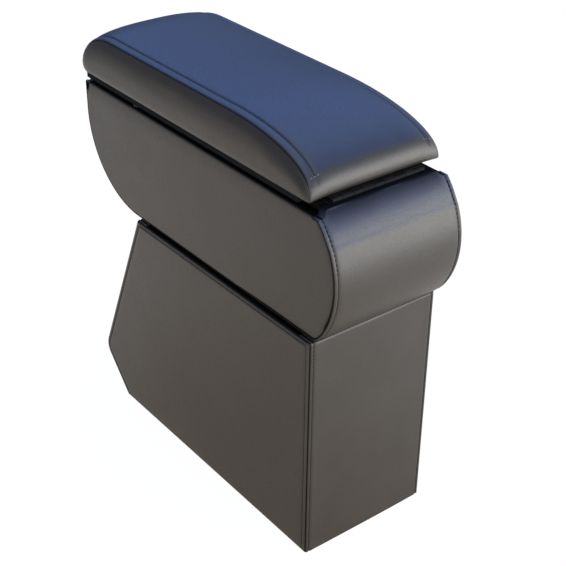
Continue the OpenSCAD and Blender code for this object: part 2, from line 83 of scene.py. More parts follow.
# The rear roll, at the seams and across its middle: rear edge, height and radius of the lower
# edge, and height of the top
ROLL_Y, ROLL_SQUARE = 110.0, 2.15
ROLL_SEAM = (6.0, 311.6, 2.0, SEAM_Z)
ROLL_MIDDLE = (5.5, 316.1, 6.5, SEAM_Z + CROWN)
NOSE_C, NOSE_L, NOSE_H = (268.5, 317.6), 42.0, 25.9
CURL_R = 8.0
SQUARENESS = 3.0

STITCH_PITCH = 3.4
STITCH_L, STITCH_W, STITCH_H = 2.0, 0.9, 0.55
THREAD_IN = 0.12


def curve_through(xs, ys, x):
    """A smooth curve through points, with no overshoot."""
    xs, ys = np.asarray(xs, float), np.asarray(ys, float)
    x = np.clip(np.asarray(x, float), xs[0], xs[-1])
    slope = np.diff(ys) / np.diff(xs)
    m = np.zeros(len(xs))
    m[0], m[-1] = slope[0], slope[-1]
    same = slope[:-1] * slope[1:] > 0
    m[1:-1][same] = 2 * slope[:-1][same] * slope[1:][same] / (slope[:-1] + slope[1:])[same]
    i = np.clip(np.searchsorted(xs, x, side="right") - 1, 0, len(xs) - 2)
    h = xs[i + 1] - xs[i]
    t = (x - xs[i]) / h
    return (
        ys[i] * (1 + 2 * t) * (1 - t) ** 2
        + m[i] * h * t * (1 - t) ** 2
        + ys[i + 1] * t * t * (3 - 2 * t)
        + m[i + 1] * h * t * t * (t - 1)
    )


def smoothstep(a, b, x):
    t = np.clip((np.asarray(x, float) - a) / (b - a), 0, 1)
    return t * t * (3 - 2 * t)


# Outlines

def arc(centre, radius, start, end, steps):
    a = np.radians(np.linspace(start, end, steps + 1))
    return [(centre[0] + radius * math.cos(t), centre[1] + radius * math.sin(t)) for t in a]


def rounded(a, b, c, radius, steps):
    """The corner b of an anticlockwise outline between a and c, rounded."""
    a, b, c = np.array(a, float), np.array(b, float), np.array(c, float)
    u, v = (a - b) / np.linalg.norm(a - b), (c - b) / np.linalg.norm(c - b)
    half = math.acos(np.dot(u, v)) / 2
    middle = (u + v) / np.linalg.norm(u + v)
    centre = b + middle * radius / math.sin(half)
    start = b + u * radius / math.tan(half) - centre
    turn = math.pi - 2 * half
    out = []
    for t in np.linspace(0, turn, steps + 1):
        out.append(tuple(centre + [
            start[0] * math.cos(t) - start[1] * math.sin(t),
            start[0] * math.sin(t) + start[1] * math.cos(t),
        ]))
    return out


def base_outline():
    p = BASE_CORNERS
    return [p[0], p[1]] + rounded(p[1], p[2], p[3], BELLY_R, 10) + [p[3], p[4]]


def bulge_foot():
    """The corner at the foot of the rear bulge, and the angle where its rounding starts."""
    drop = BOX_Z - REAR_C[1]
    foot = (REAR_C[0] - math.sqrt(REAR_R ** 2 - drop ** 2), BOX_Z)
    return foot, 180 + math.degrees(math.asin(-drop / REAR_R)) - FOOT_ARC


def foot_rounding(start):
    return rounded(start, bulge_foot()[0], FOOT_TO, FOOT_R, 6)


def box_outline():
    """The box's side, anticlockwise from the foot of the rear bulge."""
    top_angle = 180 - math.degrees(math.asin((RIM_Z - REAR_C[1]) / REAR_R))
    rear = arc(REAR_C, REAR_R, top_angle, bulge_foot()[1], 44)
    front = arc(FRONT_C, FRONT_R, -90, 0, 28)
    return foot_rounding(rear[-1]) + front + [(BOX_FRONT, RIM_Z)] + rear


def roll_point(o, t):
    """A point of one outline of the rear roll: on its lower curl below t = 0, else above it."""
    c, s = math.cos(t), math.sin(t)
    if t < 0:
        return np.array([o[0] + o[2] - o[2] * c, o[1] + o[2] * s])
    c, s = max(c, 0) ** (2 / ROLL_SQUARE), s ** (2 / ROLL_SQUARE)
    return np.array([ROLL_Y - (ROLL_Y - o[0]) * c, o[1] + (o[3] - o[1]) * s])


def roll_station(t):
    seam = roll_point(ROLL_SEAM, t)
    bulge = roll_point(ROLL_MIDDLE, t) - seam
    return (*seam, *bulge, SQUARENESS + 2.0 * math.cos(max(0, t)))


def nose_station(t):
    c, s = math.cos(t), math.sin(t)
    bulge = CROWN + (NOSE_BOW - CROWN) * c
    return (NOSE_C[0] + NOSE_L * c, NOSE_C[1] + NOSE_H * s, bulge * c, bulge * s, SQUARENESS)


def curl_station(t):
    return (LID_FRONT - CURL_R + CURL_R * math.cos(t), NOSE_C[1] - CURL_R * math.sin(t),
            NOSE_BOW, 0.0, SQUARENESS)


def lid_stations(under=8, roll=44, top=24, nose=24, curl=8):
    """Stations of the pad from its rear edge to its front edge: place along the lid, Y and Z at
    the seam, bulge in Y and Z, and how squarely the bulge rises from the seams."""
    quarter = math.pi / 2
    rows = [(k / under, *roll_station(-quarter + quarter * k / under)) for k in range(under)]
    rows += [(1 + k / roll, *roll_station(quarter * k / roll)) for k in range(roll + 1)]
    rows += [(2 + k / top, ROLL_Y + (NOSE_C[0] - ROLL_Y) * k / top, SEAM_Z, 0.0, CROWN,
              SQUARENESS) for k in range(1, top)]
    rows += [(3 + k / nose, *nose_station(quarter * (1 - k / nose))) for k in range(nose + 1)]
    rows += [(4 + k / curl, *curl_station(quarter * k / curl)) for k in range(1, curl + 1)]
    return np.array(rows)


def lid_half(z):
    """Half the lid's width at a height."""
    return LID_X - LEAN_IN * (np.asarray(z) - PAD_Z) / LID_H


# Meshes

def to_metres(points):
    p = np.asarray(points, float)
    return (p + [0, REAR_Y, 0]) * MM


def linked(name, data):
    """A new object in the scene."""
    obj = bpy.data.objects.new(name, data)
    bpy.context.scene.collection.objects.link(obj)
    return obj


def stored(mesh, name, values):
    """Keeps a number for each point of a mesh, for its material."""
    layer = mesh.attributes.new(name, "FLOAT", "POINT")
    layer.data.foreach_set("value", np.asarray(values, np.float32))


def net_faces(rows, m, closed=False):
    """The faces between rows of m points each, closed round the rows or open."""
    return [(a * m + i, a * m + (i + 1) % m, (a + 1) * m + (i + 1) % m, (a + 1) * m + i)
            for a in range(rows - 1) for i in range(m if closed else m - 1)]


def piece(name, points, faces, material, closed=True, sunk=None):
    """A smooth mesh object at the origin, its points given in millimetres. The faces of an open
    sheet keep the side that they were given. sunk tells how deep each point lies in a seam, and
    so how much painted shade darkens it there."""
    mesh = bpy.data.meshes.new(name)
    mesh.from_pydata([tuple(v) for v in to_metres(points)], [], faces)
    mesh.update()
    if sunk is not None:
        stored(mesh, "sunk", sunk)
    obj = linked(name, mesh)
    mesh.materials.append(material)
    work = bmesh.new()
    work.from_mesh(mesh)
    bmesh.ops.remove_doubles(work, verts=work.verts, dist=1e-6)
    if closed:
        bmesh.ops.recalc_face_normals(work, faces=work.faces)
    work.to_mesh(mesh)
    work.free()
    mesh.polygons.foreach_set("use_smooth", [True] * len(mesh.polygons))
    return obj


def settled(obj):
    """Turns an object and its modifiers into a plain mesh."""
    graph = bpy.context.evaluated_depsgraph_get()
    mesh = bpy.data.meshes.new_from_object(obj.evaluated_get(graph), depsgraph=graph)
    old = obj.data
    obj.modifiers.clear()
    obj.data = mesh
    mesh.name = obj.name
    if old.users == 0:
        bpy.data.meshes.remove(old)
    return obj


def with_wall(obj, thickness=SKIN):
    """Gives an open sheet its thickness, inwards."""
    wall = obj.modifiers.new("wall", "SOLIDIFY")
    wall.thickness = thickness * MM
    wall.offset = -1.0
    wall.use_rim = True
    return settled(obj)


# How much an edge bends, per metre, where it starts to look worn and lit by a painted highlight
# and where it is fully so, and the half widths where the painted shade between the sides starts
# and is full
WORN_AND_HIGHLIT_BEND = (150, 900)
SHADE_X = (56, 50)


def dressed(obj, plating_bloom_and_sky_reflection=None, shade=None):
    """Stores how much painted blue sky reflection a leatherette piece shows, by the normal's
    height where it starts and is full, where its edges are worn and carry a painted highlight,
    and where
    painted shade darkens it: in its grooves and, by the normal's height too, in the shade between
    its sides."""
    mesh = obj.data
    n = len(mesh.vertices)
    co, normal = np.empty(n * 3), np.empty(n * 3)
    mesh.vertices.foreach_get("co", co)
    mesh.vertices.foreach_get("normal", normal)
    co, normal = co.reshape(-1, 3), normal.reshape(-1, 3)
    ends = np.empty(len(mesh.edges) * 2, int)
    mesh.edges.foreach_get("vertices", ends)
    a, b = ends.reshape(-1, 2).T
    step = co[b] - co[a]
    length = np.maximum(np.linalg.norm(step, axis=1), 1e-5)
    turn = np.einsum("ij,ij->i", normal[b] - normal[a], step) / length ** 2
    total, count = np.zeros(n), np.zeros(n)
    for end in (a, b):
        np.add.at(total, end, turn)
        np.add.at(count, end, 1)
    bend = total / np.maximum(count, 1)
    # Painted blue sky reflection: its share rises as the normal turns up
    upward = smoothstep(*plating_bloom_and_sky_reflection, normal[:, 2]) if plating_bloom_and_sky_reflection else np.zeros(n)
    # Painted shade: in the seams by their depth, and under the lid between the sides by the
    # normal's height
    painted_shade_share = np.zeros(n)
    if "sunk" in mesh.attributes:
        mesh.attributes["sunk"].data.foreach_get("value", painted_shade_share)
    if shade:
        middle = smoothstep(*SHADE_X, np.abs(co[:, 0]) / MM)
        painted_shade_share = np.maximum(painted_shade_share, smoothstep(*shade, normal[:, 2]) * middle)
    stored(mesh, "upward", upward)
    stored(mesh, "worn_and_highlit", smoothstep(*WORN_AND_HIGHLIT_BEND, bend))
    stored(mesh, "painted_shade_share", painted_shade_share)
    return obj


def sewn(obj, body, node):
    """Puts a leatherette piece on its body in place of its CAD node."""
    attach(obj, body)
    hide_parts(node)


def inset(corners, depths):
    """Moves each side of an anticlockwise outline in by its own depth."""
    p = np.asarray(corners, float)
    edge = np.roll(p, -1, 0) - p
    edge /= np.linalg.norm(edge, axis=1)[:, None]
    inward = np.stack([-edge[:, 1], edge[:, 0]], 1)
    d = np.broadcast_to(np.asarray(depths, float), len(p))
    n0, n1, d0, d1 = np.roll(inward, 1, 0), inward, np.roll(d, 1), d
    det = n0[:, 0] * n1[:, 1] - n0[:, 1] * n1[:, 0]
    flat = np.abs(det) < 1e-4
    det = np.where(flat, 1, det)
    x = (d0 * n1[:, 1] - d1 * n0[:, 1]) / det
    y = (d1 * n0[:, 0] - d0 * n1[:, 0]) / det
    out = p + np.stack([x, y], 1)
    out[flat] = p[flat] + n1[flat] * d1[flat, None]
    return out


def finely(ring, counts, heights):
    """Splits each side of a ring evenly. A height belongs to a side, and a corner takes the
    mean."""
    points, high = [], []
    n = len(ring)
    for i in range(n):
        a, b = ring[i], ring[(i + 1) % n]
        for j in range(counts[i]):
            points.append(a + (b - a) * j / counts[i])
            high.append(heights[i] if j else (heights[i] + heights[i - 1]) / 2)
    return np.array(points), np.array(high)


def side_distances(outline, kinds, points):
    """How far points lie from the nearest side of each kind of an outline."""
    a = np.asarray(outline, float)
    run = np.roll(a, -1, 0) - a
    out = []
    for kind in range(max(kinds) + 1):
        best = np.full(len(points), 1e9)
        for k in np.flatnonzero(np.asarray(kinds) == kind):
            t = np.clip((points - a[k]) @ run[k] / (run[k] @ run[k]), 0, 1)
            best = np.minimum(best, np.linalg.norm(points - a[k] - t[:, None] * run[k], axis=1))
        out.append(best)
    return np.stack(out, 1)


def inside(outline, points):
    """Which points lie inside a closed outline."""
    a = np.asarray(outline, float)
    b = np.roll(a, -1, 0)
    x, y = points[:, :1], points[:, 1:]
    cross = (a[:, 1] > y) != (b[:, 1] > y)
    rise = np.where(b[:, 1] == a[:, 1], 1, b[:, 1] - a[:, 1])
    left = x < (b[:, 0] - a[:, 0]) * (y - a[:, 1]) / rise + a[:, 0]
    return (cross & left).sum(axis=1) % 2 == 1


# Heights at which painted shade starts to darken leatherette in a seam and makes it fully dark,
# the rings of a panel that are turned in and shown black as painted shade, all its rings on each
# part, and how clear of them its net stays, in steps of the net
SUNK = (-0.15, -0.75)
TURNED_RINGS = 2
BASE_RINGS, BOX_RINGS, LID_RINGS = 14, 9, 7
NET_CLEAR = 0.55


def face_net(ring, size):
    """The points of a net of triangles inside a ring."""
    low, top = ring.min(axis=0), ring.max(axis=0)
    net = np.stack(np.meshgrid(
        np.arange(low[0], top[0], size), np.arange(low[1], top[1], size)), -1)
    net[1::2, :, 0] += size / 2
    net = net.reshape(-1, 2)
    net = net[inside(ring, net)]
    return net[side_distances(ring, [0] * len(ring), net)[:, 0] > size * NET_CLEAR]


def panel(name, outline, kinds, edges, rings, shape, side, place, spacing=4.0, mesh_size=5.0):
    """A sewn side panel. Each kind of side has its steps (inset, height), from the edge that is
    turned in to the face. The first steps are rings round the panel. Further in, the face is
    a net of triangles whose height follows the nearest sides. shape(points, heights) has the
    last word on the heights. The rings that are turned in get black leatherette, as painted shade
    where they show in the gaps."""
    lengths = np.linalg.norm(np.roll(np.array(outline), -1, 0) - np.array(outline), axis=1)
    counts = [max(1, int(round(v / spacing))) for v in lengths]
    flat, high = [], []
    for step in range(rings):
        ring = inset(outline, [edges[k][step][0] for k in kinds])
        p, h = finely(ring, counts, [edges[k][step][1] for k in kinds])
        flat.append(p)
        high.append(h)
    n = len(flat[0])
    last = flat[-1]
    net = face_net(last, mesh_size)
    near = side_distances(outline, kinds, net)
    weight = 1 / (near ** 4 + 1e-6)
    rise = np.stack([curve_through(*zip(*edges[k][rings - 1:]), near[:, k])
                     for k in range(len(edges))], 1)
    flat.append(net)
    high.append((rise * weight).sum(axis=1) / weight.sum(axis=1))
    points = [Vector(p) for p in np.concatenate([last, net])]
    made = geometry.delaunay_2d_cdt(points, [], [list(range(n))], 1, 1e-7)
    source = [(rings - 1) * n + (origin[0] if origin else 0) for origin in made[3]]
    faces = net_faces(rings, n, closed=True) + [tuple(source[v] for v in f) for f in made[2]]
    flat, high = np.concatenate(flat), np.concatenate(high)
    high = shape(flat, high)
    if side < 0:
        faces = [face[::-1] for face in faces]
    obj = piece(name, [place(y, z, h) for (y, z), h in zip(flat, high)], faces, leatherette,
                closed=False, sunk=smoothstep(*SUNK, high))
    # The turned-in rings get black leatherette: painted shade, where they show in the gaps
    obj.data.materials.append(black_skin)
    for face in obj.data.polygons[:TURNED_RINGS * n]:
        face.material_index = 1
    return dressed(with_wall(obj))


def swept(name, count, at, section, bend, plating_bloom_and_sky_reflection=None, shade=None):
    """A closed section of (x, height) carried along count stations. at(k, x) gives a station's
    Y, Z and normal, and bend(k, x, height, Y, Z) what it adds to a height."""
    points, heights = [], []
    for k in range(count):
        for x, h in section:
            y, z, ny, nz = at(k, x)
            high = h + bend(k, x, h, y, z)
            points.append((x, y + ny * high, z + nz * high))
            heights.append(h)
    m = len(section)
    faces = net_faces(count, m, closed=True)
    faces += [tuple(range(m)), tuple((count - 1) * m + i for i in range(m))]
    obj = piece(name, points, faces, leatherette, sunk=smoothstep(*SUNK, heights))
    return dressed(obj, plating_bloom_and_sky_reflection, shade)


def path_with_normals(points):
    """Adds to an open path its normals, to the left of its direction."""
    p = np.asarray(points, float)
    t = np.gradient(p, axis=0)
    t /= np.linalg.norm(t, axis=1)[:, None]
    return np.hstack([p, np.stack([-t[:, 1], t[:, 0]], 1)])


def spaced(points, step):
    """Points along an open polyline at an even spacing, corners kept."""
    out = [np.array(points[0], float)]
    for a, b in zip(points[:-1], points[1:]):
        a, b = np.array(a, float), np.array(b, float)
        count = max(1, int(round(np.linalg.norm(b - a) / step)))
        out += [a + (b - a) * (j + 1) / count for j in range(count)]
    return np.array(out)


# Shader maths

def feed(tree, slot, value):
    """Links or sets a socket. A colour is given without its alpha."""
    if isinstance(value, Wire):
        tree.links.new(value.socket, slot)
    else:
        slot.default_value = (*value, 1.0) if slot.type == "RGBA" else value


class Wire:
    """A shader socket that Python's operators work on."""

    def __init__(self, tree, socket):
        self.tree, self.socket = tree, socket

    def maths(self, operation, *values, clamp=False):
        node = self.tree.nodes.new("ShaderNodeMath")
        node.operation = operation
        node.use_clamp = clamp
        for slot, value in zip(node.inputs, values):
            feed(self.tree, slot, value)
        return Wire(self.tree, node.outputs[0])

    def __add__(self, other): return self.maths("ADD", self, other)
    def __radd__(self, other): return self.maths("ADD", other, self)
    def __sub__(self, other): return self.maths("SUBTRACT", self, other)
    def __rsub__(self, other): return self.maths("SUBTRACT", other, self)
    def __mul__(self, other): return self.maths("MULTIPLY", self, other)
    def __rmul__(self, other): return self.maths("MULTIPLY", other, self)
    def __pow__(self, other): return self.maths("POWER", self, other)
    def clamped(self): return self.maths("ADD", self, 0.0, clamp=True)

    def between(self, low, high):
        """0 below low, 1 above high, smooth in between."""
        node = self.tree.nodes.new("ShaderNodeMapRange")
        node.interpolation_type = "SMOOTHSTEP"
        for name, value in (("Value", self), ("From Min", low), ("From Max", high)):
            feed(self.tree, node.inputs[name], value)
        return Wire(self.tree, node.outputs["Result"])


class Finish:
    """A material or a world under construction."""

    def __init__(self, block):
        block.use_nodes = True
        self.block, self.tree = block, block.node_tree
        self.tree.nodes.clear()

    def node(self, kind, settings=None, output=0, **values):
        """Adds a node. Underscores in a socket's name stand for spaces."""
        made = self.tree.nodes.new(kind)
        for key, value in (settings or {}).items():
            setattr(made, key, value)
        for key, value in values.items():
            name = key.replace("_", " ")
            slot = next(s for s in made.inputs if s.name == name and s.enabled)
            feed(self.tree, slot, value)
        out = made.outputs[output] if isinstance(output, int) else next(
            s for s in made.outputs if s.name == output and s.enabled)
        return Wire(self.tree, out)

    def attribute(self, name):
        return self.node("ShaderNodeAttribute", {"attribute_name": name}, "Fac")

    def axes(self, where):
        """The coordinates of a place."""
        split = self.node("ShaderNodeSeparateXYZ", Vector=where).socket.node
        return [Wire(self.tree, s) for s in split.outputs]

    def rays(self, *kinds):
        """Whether a ray is of each kind."""
        path = self.tree.nodes.new("ShaderNodeLightPath")
        return [Wire(self.tree, path.outputs[f"Is {kind} Ray"]) for kind in kinds]

    def mixed(self, share, first, second):
        """Mixes two colours."""
        return self.node("ShaderNodeMix", {"data_type": "RGBA"}, "Result",
                         Factor=share, A=first, B=second)

    def noise(self, where, scale, detail=2.0, rough=0.5, output=0):
        return self.node("ShaderNodeTexNoise", None, output,
                         Vector=where, Scale=scale, Detail=detail, Roughness=rough)

    def cells(self, where, scale, feature="F1"):
        return self.node("ShaderNodeTexVoronoi", {"feature": feature}, Vector=where, Scale=scale)

    def stretched(self, where, scale):
        return self.node("ShaderNodeMapping", Vector=where, Scale=scale)

    def bump(self, height, distance, strength, under=None):
        values = {"Normal": under} if under else {}
        return self.node("ShaderNodeBump", Height=height, Distance=distance,
                         Strength=strength, **values)

    def skin(self, **values):
        return self.node("ShaderNodeBsdfPrincipled", **values)

    def overlaid(self, share, first, second):
        """Mixes two surfaces."""
        both = self.tree.nodes.new("ShaderNodeMixShader")
        for slot, wire in zip(both.inputs, (share, first, second)):
            feed(self.tree, slot, wire)
        return Wire(self.tree, both.outputs[0])

    def done(self, surface):
        kind = "World" if isinstance(self.block, bpy.types.World) else "Material"
        made = self.tree.nodes.new("ShaderNodeOutput" + kind)
        feed(self.tree, made.inputs["Surface"], surface)
        return self.block


def begun(name):
    """A new material and the place that its patterns follow."""
    f = Finish(bpy.data.materials.new(name))
    return f, f.node("ShaderNodeTexCoord", None, "Object")


def times(colour, factor):
    return [c * factor for c in colour]


# The near black of the painted shade in seams and under the lid
PAINTED_SHADE_BLACK = (0.004, 0.004, 0.004)


def leather(name, dark, light, deep_sky_reflection, pale_sky_reflection, gloss):
    """Leatherette: pebbled grain with fine pores, an uneven tone, a painted blue sky reflection
    on what faces up, worn edges that also carry a painted highlight, and painted shade in its
    seams and where the lid shades it."""
    f, where = begun(name)
    upward, worn_and_highlit, painted_shade_share = (f.attribute(n) for n in ("upward", "worn_and_highlit", "painted_shade_share"))
    warp = f.noise(where, 260.0, 2.0, output="Color")
    bent = f.node("ShaderNodeMix", {"data_type": "VECTOR"}, "Result",
                  Factor=0.0012, A=where, B=warp)
    pebbles = f.cells(bent, 820.0, "SMOOTH_F1")
    creases = f.cells(bent, 400.0, "F2")
    pores = f.noise(where, 3400.0, 1.0)
    patches = f.noise(where, 14.0, 4.0, 0.55)
    clouds = f.noise(where, 55.0, 3.0, 0.6)
    dents = f.noise(where, 38.0, 2.0, 0.5)
    shade = (patches * 0.65 + clouds * 0.35).between(0.3, 0.7)
    plain = f.mixed(shade, dark, light)
    # The painted blue sky reflection, mixed in where the normal faces up
    blue = f.mixed(shade, deep_sky_reflection, pale_sky_reflection)
    colour = f.mixed((upward + (clouds - 0.5) * upward * 0.25).clamped(), plain, blue)
    pits = (pebbles * 0.8 + pores * 0.2).between(0.15, 0.65)
    colour = f.mixed(pits * 0.3, colour, times(dark, 0.45))
    # Worn edges are lighter, and this also paints a highlight along sharp folds
    colour = f.mixed(worn_and_highlit * (0.12 + patches * 0.4), colour, times(light, 1.9))
    rough = gloss + (clouds - 0.5) * 0.10 + pits * 0.08 - worn_and_highlit * 0.06
    broad = f.bump(dents, 0.0005, 0.45)
    coarse = f.bump(1.0 - creases, 0.00009, 0.35, broad)
    fine = f.bump(1.0 - pebbles + pores * 0.25, 0.00007, 0.7, coarse)
    face = f.skin(Base_Color=colour, Roughness=rough, Normal=fine, Specular_IOR_Level=0.95,
                  Sheen_Weight=0.02, Sheen_Roughness=0.5)
    # Painted shade: a near-black surface mixed in over seams, turned-in rows and the band under
    # the lid
    painted_shade_surface = f.node("ShaderNodeBsdfDiffuse", Color=PAINTED_SHADE_BLACK)
    return f.done(f.overlaid(painted_shade_share * 0.92, face, painted_shade_surface))


# Charcoal tones, then the deep and pale blue of the painted sky reflection, then the roughness
leatherette = leather(
    "charcoal_leatherette", (0.031, 0.027, 0.023), (0.041, 0.036, 0.031),
    (0.022, 0.034, 0.082), (0.028, 0.043, 0.100), 0.38)
black_skin = leather(
    "black_leatherette", (0.008, 0.008, 0.008), (0.013, 0.013, 0.013),
    (0.009, 0.010, 0.012), (0.013, 0.014, 0.016), 0.5)


def thread(name, dark, light):
    """Twisted thread."""
    f, where = begun(name)
    twist = f.node("ShaderNodeTexWave", {"bands_direction": "DIAGONAL"}, 1,
                   Vector=where, Scale=1400.0, Distortion=1.0)
    return f.done(f.skin(
        Base_Color=f.mixed(twist, dark, light), Roughness=0.5 + (twist - 0.5) * 0.1,
        Normal=f.bump(twist, 0.0001, 0.6)))


def felt():
    """Black felt, with fuzz and tufts."""
    f, where = begun("black_felt")
    fuzz = f.noise(where, 1800.0, 4.0, 0.75)
    tufts = f.noise(where, 260.0, 3.0, 0.6)
    colour = f.mixed(fuzz.between(0.35, 0.7), (0.006, 0.006, 0.0065), (0.019, 0.019, 0.020))
    return f.done(f.skin(
        Base_Color=colour, Roughness=0.9 + (tufts - 0.5) * 0.1, Specular_IOR_Level=0.08,
        Sheen_Weight=0.04, Normal=f.bump(fuzz + tufts * 0.5, 0.0003, 0.7)))


def plywood(name, pale, warm, dark, streak, shine=0.5):
    """Plywood: long grain on the faces, thin glue lines and streaks of darker wood."""
    f, where = begun(name)
    along = f.stretched(where, (6.0, 1.0, 14.0))
    grain = f.noise(along, 34.0, 6.0, 0.65)
    rings = f.node("ShaderNodeTexWave", {"bands_direction": "X"}, 1,
                   Vector=along, Scale=5.0, Distortion=6.0, Detail=3.0)
    fibres = f.noise(along, 420.0, 3.0, 0.7)
    colour = f.mixed(grain.between(0.3, 0.75), warm, pale)
    colour = f.mixed(rings * 0.3, colour, dark)
    colour = f.mixed(fibres.between(0.55, 0.75) * 0.35, colour, streak)
    return f.done(f.skin(
        Base_Color=colour, Roughness=0.6 + (grain - 0.5) * 0.15, Specular_IOR_Level=shine,
        Normal=f.bump(fibres + rings * 0.3, 0.0002, 0.5)))


def steel(name, dull, bright, metallic, roughness=0.34, shine=0.5):
    """Plated steel, or steel made near black as painted shade, drawn along x."""
    f, where = begun(name)
    lines = f.noise(f.stretched(where, (1.0, 22.0, 22.0)), 220.0, 4.0, 0.7)
    plating_bloom_and_sky_reflection = f.noise(where, 90.0, 4.0, 0.6)
    colour = f.mixed(plating_bloom_and_sky_reflection.between(0.3, 0.7), dull, bright)
    rough = roughness + (lines - 0.5) * 0.16 + (plating_bloom_and_sky_reflection - 0.5) * 0.12
    return f.done(f.skin(
        Base_Color=colour, Metallic=metallic, Roughness=rough, Specular_IOR_Level=shine,
        Normal=f.bump(lines, 0.00004, 0.4)))


def rubber():
    """Black rubber with a little dust."""
    f, where = begun("black_rubber")
    dust = f.noise(where, 500.0, 4.0, 0.7)
    colour = f.mixed(dust.between(0.4, 0.7), (0.014, 0.014, 0.014), (0.034, 0.033, 0.032))
    return f.done(f.skin(Base_Color=colour, Roughness=0.72 + (dust - 0.5) * 0.2,
                         Normal=f.bump(dust, 0.0001, 0.5)))


def foam():
    """Yellowed foam with open cells."""
    f, where = begun("upholstery_foam")
    holes = f.cells(where, 900.0)
    tone = f.noise(where, 22.0, 3.0)
    colour = f.mixed(tone.between(0.3, 0.7), (0.74, 0.66, 0.42), (0.80, 0.73, 0.50))
    colour = f.mixed((1.0 - holes).between(0.55, 0.9), colour, (0.45, 0.38, 0.22))
    return f.done(f.skin(Base_Color=colour, Roughness=0.9 + (tone - 0.5) * 0.1,
                         Normal=f.bump(holes, 0.0006, 0.8)))


dark_thread = thread("dark_thread", (0.003, 0.003, 0.003), (0.009, 0.009, 0.010))
pale_thread = thread("pale_thread", (0.13, 0.16, 0.19), (0.26, 0.30, 0.34))
# The hinge's steel, near black as painted shade in the gap under the lid's rear
shade_black_steel = steel("steel_near_black_as_shade", (0.006, 0.006, 0.007), (0.014, 0.014, 0.015), 0.0,
                    0.62, 0.12)
# The hinge rail's and the box boards' plywood, near black as painted shade in the gaps
shaded = plywood("black_stained_plywood", (0.020, 0.019, 0.018), (0.014, 0.013, 0.012),
                  (0.010, 0.009, 0.008), (0.007, 0.006, 0.006), 0.12)
INSIDE = {
    "plywood": plywood("birch_plywood", (0.76, 0.58, 0.38), (0.62, 0.44, 0.26),
                       (0.50, 0.33, 0.18), (0.42, 0.27, 0.14)),
    "steel": steel("zinc_plated_steel", (0.52, 0.53, 0.55), (0.66, 0.66, 0.65), 1.0),
    "rubber": rubber(), "foam": foam(), "black_felt": felt(),
    "black_leatherette": black_skin, "leatherette": leatherette,
}


def dress_frame():
    """Gives every node of the frame the finish of its slot, but shows the hinge, its rail and the
    box's plywood boards near black, as painted shade where they show in the gaps."""
    for part in frame["record"]["subparts"]:
        obj = frame["nodes"][part["node"]]
        obj.data.materials.clear()
        finish = INSIDE[part["material_slot"]]
        # Painted shade: the hinge, its rail and the box's plywood boards are shown near black
        if part["node"].startswith("hinge_"):
            finish = shaded if part["node"] == "hinge_rail" else shade_black_steel
        elif part["node"].startswith("box_") and part["material_slot"] == "plywood":
            finish = shaded
        obj.data.materials.append(finish)


dress_frame()

# Stitches

# The least and the most that a stitch is scaled
STITCH_SIZES = (0.88, 1.06)


def stitch_tree():
    """Lays stitches end to end along lines that carry the direction of the surface's outside."""
    tree = bpy.data.node_groups.new("stitches", "GeometryNodeTree")
    kinds = {"Lines": "Geometry", "Pitch": "Float", "Length": "Float", "Width": "Float",
             "Height": "Float", "Seed": "Int", "Thread": "Material"}
    slots = {name: tree.interface.new_socket(
        name, in_out="INPUT", socket_type="NodeSocket" + kind).identifier
        for name, kind in kinds.items()}
    tree.interface.new_socket("Stitches", in_out="OUTPUT", socket_type="NodeSocketGeometry")

    def node(kind, **settings):
        out = tree.nodes.new(kind)
        for key, value in settings.items():
            setattr(out, key, value)
        return out

    def link(source, output, target, slot):
        tree.links.new(source.outputs[output], target.inputs[slot])

    start, end = node("NodeGroupInput"), node("NodeGroupOutput")
    curve = node("GeometryNodeMeshToCurve")
    even = node("GeometryNodeResampleCurve", mode="LENGTH")
    tangent = node("GeometryNodeInputTangent")
    outside = node("GeometryNodeInputNamedAttribute", data_type="FLOAT_VECTOR")
    outside.inputs["Name"].default_value = "outside"
    turn = node("FunctionNodeAxesToRotation", primary_axis="X", secondary_axis="Z")
    bead = node("GeometryNodeMeshUVSphere")
    bead.inputs["Segments"].default_value = 6
    bead.inputs["Rings"].default_value = 4
    bead.inputs["Radius"].default_value = 0.5
    size = node("ShaderNodeCombineXYZ")
    form = node("GeometryNodeTransform")
    vary = node("FunctionNodeRandomValue", data_type="FLOAT")
    vary.inputs[2].default_value, vary.inputs[3].default_value = STITCH_SIZES
    place = node("GeometryNodeInstanceOnPoints")
    real = node("GeometryNodeRealizeInstances")
    smooth = node("GeometryNodeSetShadeSmooth")
    paint = node("GeometryNodeSetMaterial")
    link(start, "Lines", curve, "Mesh")
    link(curve, "Curve", even, "Curve")
    link(start, "Pitch", even, "Length")
    link(tangent, "Tangent", turn, "Primary Axis")
    link(outside, "Attribute", turn, "Secondary Axis")
    for axis, name in zip("XYZ", ("Length", "Width", "Height")):
        link(start, name, size, axis)
    link(bead, "Mesh", form, "Geometry")
    link(size, "Vector", form, "Scale")
    link(start, "Seed", vary, "Seed")
    link(even, "Curve", place, "Points")
    link(form, "Geometry", place, "Instance")
    link(turn, "Rotation", place, "Rotation")
    link(vary, 1, place, "Scale")
    link(place, "Instances", real, "Geometry")
    link(real, "Geometry", smooth, "Geometry")
    link(smooth, "Geometry", paint, "Geometry")
    link(start, "Thread", paint, "Material")
    link(paint, "Geometry", end, "Stitches")
    return tree, slots


STITCHES, STITCH_SLOTS = stitch_tree()


